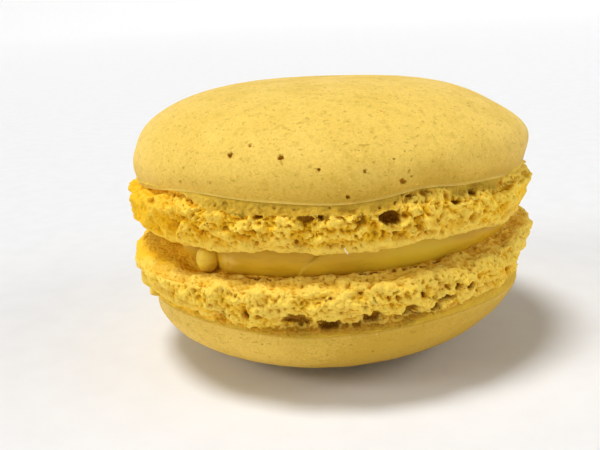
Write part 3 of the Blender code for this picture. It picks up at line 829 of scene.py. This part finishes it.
# %% Sink the pinholes and mark the lip
points = read_points(upper_skin)
inward = read_inward(upper_skin)
depth = carve(points + wander(points, 0.2, 1.5) * 0.12, inward, holes, 0.6)
depth += 0.015 * lumps(points, 1.8, 2.7) + 0.008 * lumps(points, 0.6, 5.1)
azimuth, r, z, outward = around(points)
lip_share = 1 - fade(z - LIP_HEIGHT - lip_wave(azimuth), 0.1, 0.26)
lip_share *= (0.75 + 0.5 * lumps(points, 1.5, 9.9)) * (1 - stretch(azimuth, *FLUSH_LEFT))
pricked(upper_skin, points, inward, depth, lip_share)
set_down(upper_skin, UPPER_PLACE)

# %% [markdown]
# ## The lower skin
# The lower shell's skin is a shallow bowl that stands on a small flat spot. It is turned from the same
# curve as the solid, with a fine lip where it meets the foot above it.

# %% Turn the lower skin
LOWER_SKIN_STEPS = 752
bowl = sweep((0.0, 0.0), (LOWER_SKIN_RADIUS, LOWER_SKIN_HEIGHT), 2.56, 2.18)
bowl_outline = [(0.0, 0.0), (FLAT_RADIUS / 2, 0.0)]
bowl_outline += evenly([(FLAT_RADIUS, 0.0)] + [p for p in bowl if p[0] > FLAT_RADIUS * 1.2], 0.26)
lip = [(LOWER_SKIN_RADIUS, LOWER_SKIN_HEIGHT), (LOWER_SKIN_RADIUS - 0.05, LOWER_SKIN_HEIGHT + 0.1),
       (LOWER_BAND_RADIUS - 0.1, LOWER_SKIN_HEIGHT + 0.2)]
bowl_outline += evenly(lip, 0.08)[1:]
bowl_outline += [(LOWER_BAND_RADIUS - 1.0, LOWER_SKIN_HEIGHT + 0.2), (0.0, LOWER_SKIN_HEIGHT + 0.2)]
lower_skin = turned("lower_skin", bowl_outline, LOWER_SKIN_STEPS)

# %% Its few pinholes: azimuth, height, radius and sink
LOWER_PINHOLES = [
    (281.3, 5.16, 0.14, 0.05), (252, 4.4, 0.13, 0.05), (299.9, 3.93, 0.12, 0.04), (20, 5.0, 0.2, 0.08),
    (75, 4.2, 0.16, 0.05), (140, 5.4, 0.2, 0.08), (190, 4.8, 0.14, 0.05)]
holes = opened(lower_skin, lower_form(read_points(lower_skin)), LOWER_PINHOLES, 0.6)
points = read_points(lower_skin)
inward = read_inward(lower_skin)
azimuth, r, z, outward = around(points)
depth = carve(points, inward, holes, 0.5) + 0.03 * lumps(points, 2.2, 4.7) * fade(z, 0.4, 1.5)
lip_share = 0.2 - 0.2 * fade(LOWER_SKIN_HEIGHT + joint_wave(azimuth) - z, 0.0, 0.2)
pricked(lower_skin, points, inward, depth, lip_share)
set_down(lower_skin, AXIS)

# %% [markdown]
# ## The filling
# The cream was piped in a spiral from the middle outwards. A fold runs down its side where a later turn
# laps over an earlier one, and the turn before shows behind the rope's end at the left. One turned disc is
# enough for this, if its radius depends on the azimuth; the blob at the rope's end is added below. The
# disc's top follows the leaning seat of the upper shell.

# %% The filling's reach
PIPED_END = math.radians(227.5)
FILLING_UNDERSIDE = LOWER_SEAT - 0.05


def filling_reach(azimuth, level):
    """The filling's radius: steady from the piped end, then winding inwards behind it."""
    turn = (azimuth - PIPED_END) % FULL_TURN
    reach = FILLING_RADIUS - fade(turn, math.radians(120), FULL_TURN) * (FILLING_RADIUS - FILLING_START)
    reach -= 1.3 * (1 - fade(turn * FILLING_RADIUS, 0.0, 4.0))
    height = (level - 0.45) / 0.66
    earlier_turn = hump(azimuth, 217, 9) * (turn > math.pi) * np.sqrt(np.clip(1 - height ** 2, 0, 1))
    past_seam = turn_from(azimuth, 260.8 + 12.5 * level ** 1.5)
    lap = fade(past_seam, 0.0, 0.01) * (1 - fade(past_seam, 0.01, 0.3))
    return reach + 1.9 * earlier_turn + 0.2 * lap + 1.3 * hump(azimuth, 340, 24)


# %% Turn and shape the filling
FILLING_ROWS = 40
FILLING_STEPS = 1200
inner = FILLING_RADIUS - FILLING_EDGE
side = sweep((inner, 1.0), (FILLING_RADIUS, 0.5), 2, 2)
side += sweep((inner, 0.0), (FILLING_RADIUS, 0.5), 2, 2)[-2::-1]
picks = [side[round(i * (len(side) - 1) / FILLING_ROWS)] for i in range(FILLING_ROWS + 1)]
filling = turned("filling", [(0.0, 1.0)] + picks + [(0.0, 0.0)], FILLING_STEPS)
gathered(filling, FRONT_SHARE)
points = read_points(filling)
azimuth, r, level, outward = around(points)
reach = filling_reach(azimuth % FULL_TURN, level)
points[:, :2] *= (reach / FILLING_RADIUS)[:, None]
lean = UPPER_PLACE.to_3x3() @ Vector((0, 0, 1))
seat = AXIS.inverted() @ UPPER_PLACE @ Vector((0, 0, SEAT_DEPTH))
ceiling = seat.z - (lean.x * (points[:, 0] - seat.x) + lean.y * (points[:, 1] - seat.y)) / lean.z
underside = FILLING_UNDERSIDE - 0.55 * hump(azimuth, 227, 9)
points[:, 2] = underside + (ceiling + 0.1 - underside) * level
points += along(outward, 0.06 * lumps(points, 3.5, 1.4) + 0.012 * lumps(points, 0.9, 2.4))
write_points(filling, points)
# A small pale patch beside the rope's end: a painted highlight.
highlight_spot = hump(azimuth, 239.5, 2.6) * bell(level, 0.38, 0.16)
mark(filling, "painted_highlight", highlight_spot * fade(lumps(points, 0.5, 7.3), -0.2, 0.3))
set_down(filling, AXIS)
print(f"filling: radius {reach.min():.1f} to {reach.max():.1f} mm")

# %% [markdown]
# ## Loose crumbs
# Grains of almond and sugar cling to the torn feet. They are small icospheres, pressed out of round by
# their own random scale, and all those of one foot are joined into one mesh.

# %% Loose crumbs
def ball(subdivisions):
    """A small mesh of a round ball with radius 1."""
    model = bmesh.new()
    bmesh.ops.create_icosphere(model, subdivisions=subdivisions, radius=1.0)
    mesh = bpy.data.meshes.new("ball")
    model.to_mesh(mesh)
    model.free()
    return mesh


def joined(name, places, shape):
    """One piece made of a copy of the shape at each place, all made a little uneven."""
    model = bmesh.new()
    for place in places:
        copy = shape.copy()
        copy.transform(place)
        model.from_mesh(copy)
        bpy.data.meshes.remove(copy)
    for vertex in model.verts:
        vertex.co = (vertex.co + noise.noise_vector(vertex.co / 0.12) * 0.015) * MM
    return made(name, model)


def crumb_places(foot, count, seed):
    """Places on the rough part of a foot, each with its own size, turn and stretch."""
    draw = random.Random(seed)
    rough = rows(foot.data.attributes["torn"].data, "value", 1)[:, 0]
    spots = np.flatnonzero(rough > 0.8).tolist()
    places = []
    for _ in range(count):
        spot = foot.data.vertices[draw.choice(spots)].co / MM
        size = draw.uniform(0.07, 0.15)
        form = Matrix.Diagonal([size * draw.uniform(0.7, 1.4) for _ in range(3)] + [1.0])
        turn = Matrix.Rotation(draw.uniform(0, math.pi), 4, Vector([draw.gauss(0, 1) for _ in range(3)]))
        places.append(Matrix.Translation(spot) @ turn @ form)
    return places


grain_ball = ball(1)
upper_crumbs = joined("upper_crumbs", crumb_places(upper_foot, 380, 3), grain_ball)
lower_crumbs = joined("lower_crumbs", crumb_places(lower_foot, 420, 4), grain_ball)

# %% [markdown]
# The rope of cream ends in a rounded blob, pushed out sideways when the shells were pressed together. It
# is a ball too, drawn out upright until it reaches both shells.

# %% The rope's end
def on_circle(radius, degrees, height):
    """A spot at a distance from the axis, an azimuth in degrees and a height."""
    turn = math.radians(degrees)
    return Matrix.Translation((radius * math.cos(turn), radius * math.sin(turn), height))


blob_form = Matrix.Diagonal((1.12, 1.12, 1.4, 1.0))
piped_end = joined("piped_end", [AXIS @ on_circle(18.4, 230.6, 13.6) @ blob_form], ball(5))

# %% [markdown]
# One thin sliver of almond sticks out below the upper foot at the front. It is the same ball, drawn out
# to a splinter.

# %% The sliver
SLIVER_LENGTH = 0.85
sliver_lie = Matrix.Rotation(math.radians(62), 4, "Y") @ Matrix.Rotation(math.radians(20), 4, "Z")
sliver_form = Matrix.Diagonal((SLIVER_LENGTH / 2, 0.04, 0.075, 1.0))
sliver_place = UPPER_PLACE @ on_circle(21.3, 273.9, 0.25) @ sliver_lie @ sliver_form
almond_sliver = joined("almond_sliver", [sliver_place], ball(3))

# %% [markdown]
# ## Wires for the materials
# A material is a tree of nodes. Written one node at a time it is hard to read, so a small class wraps a
# socket: sums and products of wires then read like arithmetic and add the Math nodes by themselves.

# %% A wire
class Wire:
    """A socket of a material's node tree, on which + - and * work."""

    def __init__(self, tree, socket=None):
        self.tree = tree
        self.socket = socket

    def node(self, kind, settings=None, values=None, output=0):
        """Adds a node, sets its settings, then the values or links of its sockets."""
        added = self.tree.nodes.new(kind)
        for name, value in (settings or {}).items():
            setattr(added, name, value)
        for key, value in (values or {}).items():
            if isinstance(value, Wire):
                self.tree.links.new(value.socket, added.inputs[key])
            else:
                added.inputs[key].default_value = value
        return Wire(self.tree, added.outputs[output])

    def beside(self, output):
        """Another output of the same node."""
        return Wire(self.tree, self.socket.node.outputs[output])

    def maths(self, operation, first, second):
        return self.node("ShaderNodeMath", {"operation": operation}, {0: first, 1: second})

    def __add__(self, other):
        return self.maths("ADD", self, other)

    def __sub__(self, other):
        return self.maths("SUBTRACT", self, other)

    def __rsub__(self, other):
        return self.maths("SUBTRACT", other, self)

    def __mul__(self, other):
        return self.maths("MULTIPLY", self, other)

    __radd__ = __add__
    __rmul__ = __mul__


# %% Helpers that every finish uses
def new_finish(name):
    """A material with an empty shader, the wire to build it from, and the piece's coordinates in mm."""
    material = bpy.data.materials.new(name)
    material.use_nodes = True
    tree = Wire(material.node_tree)
    metres = tree.node("ShaderNodeTexCoord", output="Object")
    place = tree.node("ShaderNodeVectorMath", {"operation": "SCALE"}, {0: metres, "Scale": 1 / MM})
    return material, tree, place


def speckle(place, size, detail=2.0):
    """Noise from 0 to 1 with features of the given size."""
    values = {"Vector": place, "Scale": 1 / size, "Detail": detail}
    return place.node("ShaderNodeTexNoise", {}, values, "Fac")


def between(value, low, high):
    """0 below low, 1 above high, smooth in between."""
    return value.node("ShaderNodeMapRange", {"interpolation_type": "SMOOTHSTEP"},
                      {"Value": value, "From Min": low, "From Max": high})


def mixed(share, first, second):
    """One colour fading into another."""
    colours = [value if isinstance(value, Wire) else (*value, 1.0) for value in (first, second)]
    return share.node("ShaderNodeMix", {"data_type": "RGBA"}, {0: share, 6: colours[0], 7: colours[1]}, 2)


def dots(place, spacing, size, share):
    """Round dots: one in each of a share of the cells that fill space at that spacing."""
    apart = place.node("ShaderNodeTexVoronoi", {}, {"Vector": place, "Scale": 1 / spacing}, "Distance")
    chance = apart.node("ShaderNodeSeparateColor", {}, {"Color": apart.beside("Color")}, "Red")
    inside = 1 - between(apart, 0.5 * size / spacing, size / spacing)
    return inside * (1 - between(chance, share - 0.01, share + 0.01))


def marked(tree, name):
    """The number that a piece's vertices carry under this name."""
    return tree.node("ShaderNodeAttribute", {"attribute_name": name}, {}, "Fac")


def finished(material, colour, roughness, relief, depth, cream, gloss):
    """Joins colour, roughness and relief to the shader; cream is how much light goes in and comes out."""
    shader = material.node_tree.nodes["Principled BSDF"]
    heights = {"Height": relief, "Strength": 1.0, "Distance": depth * MM}
    bump = relief.node("ShaderNodeBump", {}, heights, "Normal")
    for name, wire in (("Base Color", colour), ("Roughness", roughness), ("Normal", bump)):
        wire.tree.links.new(wire.socket, shader.inputs[name])
    shader.inputs["Subsurface Weight"].default_value = cream
    shader.inputs["Subsurface Radius"].default_value = (1.0, 0.45, 0.08)
    shader.inputs["Subsurface Scale"].default_value = 1.2 * MM
    shader.inputs["Specular IOR Level"].default_value = gloss
    print("finish:", material.name)
    return material


# %% [markdown]
# ## The skin's finish
# The skin is matt and lemon yellow. It is painted paler on top and deeper towards the lip, which is painted
# light and painted shade, and its lower front is painted browner as painted shade. It has soft darker
# clouds, brown flecks of almond skin, fine pores painted darker as painted shade, and a few orange specks.
# All of them are noise and dots in the piece's own coordinates, so they stay put from every side. The relief
# is a fine dust.

# %% Skin
SKIN_TOP = (0.95, 0.66, 0.13)
SKIN_SIDE = (0.90, 0.575, 0.075)
SKIN_CLOUD_AND_SHADE = (0.65, 0.395, 0.038)
FLECK = (0.50, 0.27, 0.014)
PORE_SHADE = (0.34, 0.17, 0.012)
ORANGE = (0.78, 0.24, 0.03)
PALE_LIP = (0.98, 0.70, 0.15)
PINHOLE_SHADE = (0.52, 0.23, 0.006)


def skin_finish(name, paler_from, paler_to, shade):
    """The baked skin, painted paler between two heights as painted light; shade is how much painted shade
    darkens its lower front.
    """
    material, tree, place = new_finish(name)
    height = place.node("ShaderNodeSeparateXYZ", {}, {"Vector": place}, "Z")
    across = height.beside("X")
    drift = (speckle(place, 5.0, 2.0) - 0.5) * 6
    # Paler with height: painted light on the top, painted shade on the lower sides.
    colour = mixed(between(height + drift, paler_from, paler_to), SKIN_SIDE, SKIN_TOP)
    clouds = between(speckle(place, 5.0, 3.0), 0.42, 0.66)
    freckles = between(speckle(place, 0.9, 4.0), 0.5, 0.72)
    dust = between(speckle(place, 0.22, 3.0), 0.35, 0.7)
    low_side = 1 - between(height + drift, 18, 23.5)
    # Darker at the lower front, away from the lamps: painted shade, in the same colour as the random clouds.
    painted_front_shade = low_side * between(across + drift, -12, 7) * (1 - between(across, 16, 21) * 0.25)
    colour = mixed(painted_front_shade * shade + clouds * 0.2 + freckles * 0.3 + dust * 0.3, colour, SKIN_CLOUD_AND_SHADE)
    lying = place.node("ShaderNodeMapping", {}, {"Vector": place, "Scale": (1.0, 1.0, 1.7)}, "Vector")
    large_flecks = between(speckle(lying, 0.5, 1.0), 0.63, 0.73)
    small_flecks = between(speckle(lying, 0.24, 1.0), 0.68, 0.8)
    colour = mixed((large_flecks + small_flecks) * 0.5, colour, FLECK)
    # Fine pores, dented by the relief and painted darker as painted shade.
    pores = dots(place, 0.75, 0.1, 0.22)
    colour = mixed(pores * 0.5, colour, PORE_SHADE)
    colour = mixed(dots(place, 1.0, 0.15, 0.35) * 0.6, colour, PALE_LIP)
    colour = mixed(dots(place, 2.6, 0.2, 0.14) * 0.8, colour, ORANGE)
    colour = mixed(marked(tree, "lip") * 0.8, colour, PALE_LIP)
    # Pinholes painted darker by their depth: painted shade.
    colour = mixed(between(marked(tree, "hollow"), 0.15, 0.7), colour, PINHOLE_SHADE)
    relief = speckle(place, 0.12, 3.0) + speckle(place, 0.45, 2.0) * 0.9 - pores * 0.8
    roughness = 0.52 + clouds * 0.12
    return finished(material, colour, roughness, relief, 0.08, 0.08, 0.2)


# %% [markdown]
# ## The crumb's finish
# Broken crumb is a stronger yellow than the skin, because light bounces about in it. Where it dried it is
# ochre, and the band under the lip is khaki, darkened also as painted shade. The numbers stored on the
# vertices say how
# hollow each place is: hollows, creases, cavities and pores are painted amber and brown as painted shade,
# raised places are painted lighter as painted light, and between the shells the crumb is painted deep
# golden, partly its own colour and partly painted shade.

# %% Crumb
CRUMB_BRIGHT = (0.98, 0.60, 0.025)
CRUMB_DEEP = (0.94, 0.52, 0.014)
DRIED = (0.82, 0.50, 0.063)
TIP_LIGHT = (1.0, 0.72, 0.12)
AMBER_SPECK_AND_SHADE = (0.80, 0.43, 0.013)
CREASE_SHADE = (0.58, 0.28, 0.008)
BUBBLE_SHADE = (0.32, 0.13, 0.005)
FINE_PORE_SHADE = (0.55, 0.17, 0.003)
INNER = (0.97, 0.53, 0.01)


def crumb_finish(name, vivid, cavity, khaki):
    """Torn crumb, from dried at 0 to vivid at 1, with the colour painted into its cavities as shade and the
    colour of its band.
    """
    material, tree, place = new_finish(name)
    patches = between(speckle(place, 1.6, 3.0), 0.4, 0.65)
    colour = mixed(patches, CRUMB_BRIGHT, CRUMB_DEEP)
    dried = marked(tree, "film") * 0.7 + (1 - vivid)
    colour = mixed(between(dried + (speckle(place, 0.7) - 0.5) * 0.5, 0.05, 0.95), colour, DRIED)
    crease = marked(tree, "crease")
    hollow = marked(tree, "hollow")
    # Raised places painted lighter: painted light.
    colour = mixed(between(0 - hollow, -0.1, 0.5) * 0.75, colour, TIP_LIGHT)
    # Hollows and creases painted amber, then brown in the deepest: painted shade.
    colour = mixed(between(hollow, 0.0, 0.5) * 0.6, colour, AMBER_SPECK_AND_SHADE)
    colour = mixed(between(crease, 0.2, 0.9) * 0.7, colour, CREASE_SHADE)
    colour = mixed(between(hollow, 0.15, 0.75) * 0.6, colour, CREASE_SHADE)
    colour = mixed(between(hollow, 0.5, 1.0) * 0.8, colour, BUBBLE_SHADE)
    # The band's khaki: its own colour, darkened as painted shade under the lip and under the overhang.
    colour = mixed(marked(tree, "band") * (0.6 + 0.5 * speckle(place, 1.2)), colour, khaki)
    # Deep golden between the shells: partly the crumb's own colour, partly painted shade.
    colour = mixed(marked(tree, "inner") * 0.85, colour, INNER)
    # Cavities painted dark brown by their depth: painted shade.
    colour = mixed(between(marked(tree, "cavity"), 0.2, 1.0) * 0.9, colour, cavity)
    sand = speckle(place, 0.15, 3.0)
    # Random amber specks of sand, in the same amber as the painted shade.
    colour = mixed(between(sand, 0.5, 0.68) * 0.35, colour, AMBER_SPECK_AND_SHADE)
    # Fine pores painted darker: painted shade.
    pores = dots(place, 0.42, 0.1, 0.08) * (1 - marked(tree, "band"))
    colour = mixed(pores * 0.4, colour, FINE_PORE_SHADE)
    relief = speckle(place, 0.3, 4.0) - sand * 0.6 - pores * 0.7
    roughness = 0.66 + patches * 0.1
    return finished(material, colour, roughness, relief, 0.32, 0.1, 0.06)


# %% [markdown]
# ## The cream's finish
# The filling is smooth and satin. A little light passes through it, and it is faintly streaked along the
# way it was piped, so its noise is squeezed in height. A band on its right is painted lighter as painted
# light, a small pale patch beside the rope's end is a painted highlight, and the blob at the rope's end
# takes a lighter copy of the cream as painted light. The sliver of almond is plain, pale and dried.

# %% Cream and almond
CREAM = (0.78, 0.48, 0.02)
CREAM_DEEP = (0.67, 0.385, 0.011)
CREAM_PAINTED_LIGHT = (0.88, 0.61, 0.03)
CREAM_PAINTED_LIT = (0.98, 0.68, 0.06)
CREAM_HIGHLIGHT = (0.93, 0.72, 0.22)
ALMOND = (1.0, 0.93, 0.72)
ALMOND_EDGE = (0.85, 0.66, 0.30)


def cream_finish(name, fresh, deep):
    """Piped cream, streaked with a deeper colour, with a painted highlight where it is marked."""
    material, tree, place = new_finish(name)
    lying = place.node("ShaderNodeMapping", {}, {"Vector": place, "Scale": (1.0, 1.0, 4.0)}, "Vector")
    streaks = speckle(lying, 2.5, 3.0)
    colour = mixed(between(streaks, 0.4, 0.7) * 0.7, fresh, deep)
    colour = mixed(between(speckle(place, 0.16, 2.0), 0.45, 0.7) * 0.12, colour, deep)
    across = place.node("ShaderNodeSeparateXYZ", {}, {"Vector": place}, "X")
    lit_side = between(across, 0, 8) * (1 - between(across, 9, 14))
    # Lighter on the right: painted light.
    colour = mixed(lit_side * 0.9, colour, CREAM_PAINTED_LIGHT)
    colour = mixed(marked(tree, "painted_highlight") * 0.5, colour, CREAM_HIGHLIGHT)
    relief = speckle(lying, 1.2, 2.0) + speckle(place, 0.2, 2.0) * 0.25
    roughness = 0.34 + between(speckle(place, 0.8), 0.4, 0.7) * 0.1
    return finished(material, colour, roughness, relief, 0.03, 0.25, 0.25)


def almond_finish(name):
    """A plain broken almond."""
    material, tree, place = new_finish(name)
    fibres = speckle(place, 0.15, 2.0)
    colour = mixed(fibres, ALMOND, ALMOND_EDGE)
    return finished(material, colour, 0.5 + fibres * 0.1, fibres, 0.02, 0.1, 0.3)


# %% Give each piece its finish
# Both skins are painted paler with height as painted light; the last number sets the painted shade at the
# lower front.
upper_baked = skin_finish("baked_skin", 18, 25, 1.3)
lower_baked = skin_finish("lower_baked_skin", -4, 14, 0.8)
vivid_crumb = crumb_finish("torn_crumb", 1.0, (0.22, 0.075, 0.004), (0.48, 0.29, 0.025))
pale_crumb = crumb_finish("dried_crumb", 0.6, (0.25, 0.09, 0.006), (0.62, 0.38, 0.032))
cream = cream_finish("piped_cream", CREAM, CREAM_DEEP)
# The rope's end takes a lighter copy of the cream: painted light on the blob.
painted_lit_cream = cream_finish("painted_lit_cream", CREAM_PAINTED_LIT, CREAM)
almond = almond_finish("almond")
finishes = {
    upper_skin: upper_baked, lower_skin: lower_baked, upper_foot: vivid_crumb, lower_foot: pale_crumb,
    upper_crumbs: pale_crumb, lower_crumbs: pale_crumb, filling: cream, piped_end: painted_lit_cream,
    almond_sliver: almond}
for piece, finish in finishes.items():
    piece.data.materials.clear()
    piece.data.materials.append(finish)

# %% [markdown]
# ## Joining the frame
# Every piece is attached to the root body, and the solid of the frame that it replaces is hidden.

# %% Ride on the frame
for piece in (upper_skin, upper_foot, upper_crumbs, almond_sliver):
    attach(piece, "root")
    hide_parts("upper_shell")
for piece in (lower_skin, lower_foot, lower_crumbs):
    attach(piece, "root")
    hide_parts("lower_shell")
for piece in (filling, piped_end):
    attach(piece, "root")
    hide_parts("filling")
print("pieces on the frame:", len(finishes))

# %% [markdown]
# ## The studio
# The macaron stands on a pale sheet that curves up into a low wall all round, so the background is the same
# from every side. Four soft suns stand in for large lamps: one overhead, which models the crumb, two at the
# left, of which the lower one reaches between the shells, and a very broad one at the right. The front is
# left to the light that the sheet throws back.

# %% Sheet and wall
SHEET_FLAT = 1200
SHEET_END = 2000
WALL = 900
sheet_outline = [(0.0, 0.0), (50.0, 0.0), (300.0, 0.0), (SHEET_FLAT, 0.0)]
sheet_outline += sweep((SHEET_FLAT, 0.0), (SHEET_END, WALL), 2, 2, 24)[1:]
sheet = turned("sheet", sheet_outline, 96)
sheet.data.flip_normals()
material, tree, place = new_finish("pale_paper")
fibres = speckle(place, 4.0, 3.0)
paper = mixed(between(fibres, 0.3, 0.7), (0.80, 0.80, 0.80), (0.82, 0.82, 0.82))
sheet.data.materials.append(finished(material, paper, 0.85 + fibres * 0.1, fibres, 0.02, 0.0, 0.2))

# %% Lights
def soft_sun(name, azimuth, height, strength, spread):
    """A sun from an azimuth and a height in degrees, spread wide so that its shadows are soft."""
    light = bpy.data.lights.new(name, "SUN")
    light.energy = strength
    light.angle = math.radians(spread)
    lamp = bpy.data.objects.new(name, light)
    lamp.rotation_euler = (math.radians(90 - height), 0.0, math.radians(azimuth + 90))
    bpy.context.scene.collection.objects.link(lamp)
    print(f"{name}: from azimuth {azimuth}, {height} degrees up")


soft_sun("overhead_lamp", 200, 75, 2.25, 18)
soft_sun("side_lamp", 204, 25, 1.45, 26)
soft_sun("low_lamp", 200, 8, 0.85, 24)
soft_sun("far_lamp", 342, 20, 1.55, 50)
world = bpy.data.worlds.new("studio")
world.use_nodes = True
room = world.node_tree.nodes["Background"].inputs
room["Color"].default_value = (1.0, 1.0, 1.0, 1.0)
room["Strength"].default_value = 0.1
bpy.context.scene.world = world
bpy.context.scene.view_settings.view_transform = "Standard"

# %% [markdown]
# ## The camera
# The photograph was taken from close by, so its perspective is strong. The camera's place, its tilt and
# its slight roll are measured from the outline and from the rings of the shells.

# %% Camera
CAMERA_PLACE = Vector((0.558, -91.418, 37.677))
CAMERA_TURN = math.radians(2.235)
CAMERA_DOWN = math.radians(15.314)
CAMERA_ROLL = math.radians(-3.51)
FOCAL_PIXELS = 830
FRAME_WIDTH = 600
camera = bpy.data.cameras.new("camera")
camera.sensor_width = 36
camera.lens = camera.sensor_width * FOCAL_PIXELS / FRAME_WIDTH
camera.clip_start = MM
eye = bpy.data.objects.new("camera", camera)
heading = Matrix.Rotation(CAMERA_TURN, 4, "Z") @ Matrix.Rotation(math.pi / 2 - CAMERA_DOWN, 4, "X")
spot = Matrix.Translation((AXIS.translation + CAMERA_PLACE) * MM)
eye.matrix_world = spot @ heading @ Matrix.Rotation(CAMERA_ROLL, 4, "Z")
bpy.context.scene.collection.objects.link(eye)
bpy.context.scene.camera = eye
print("camera at", [round(value / MM, 1) for value in eye.location], "mm")
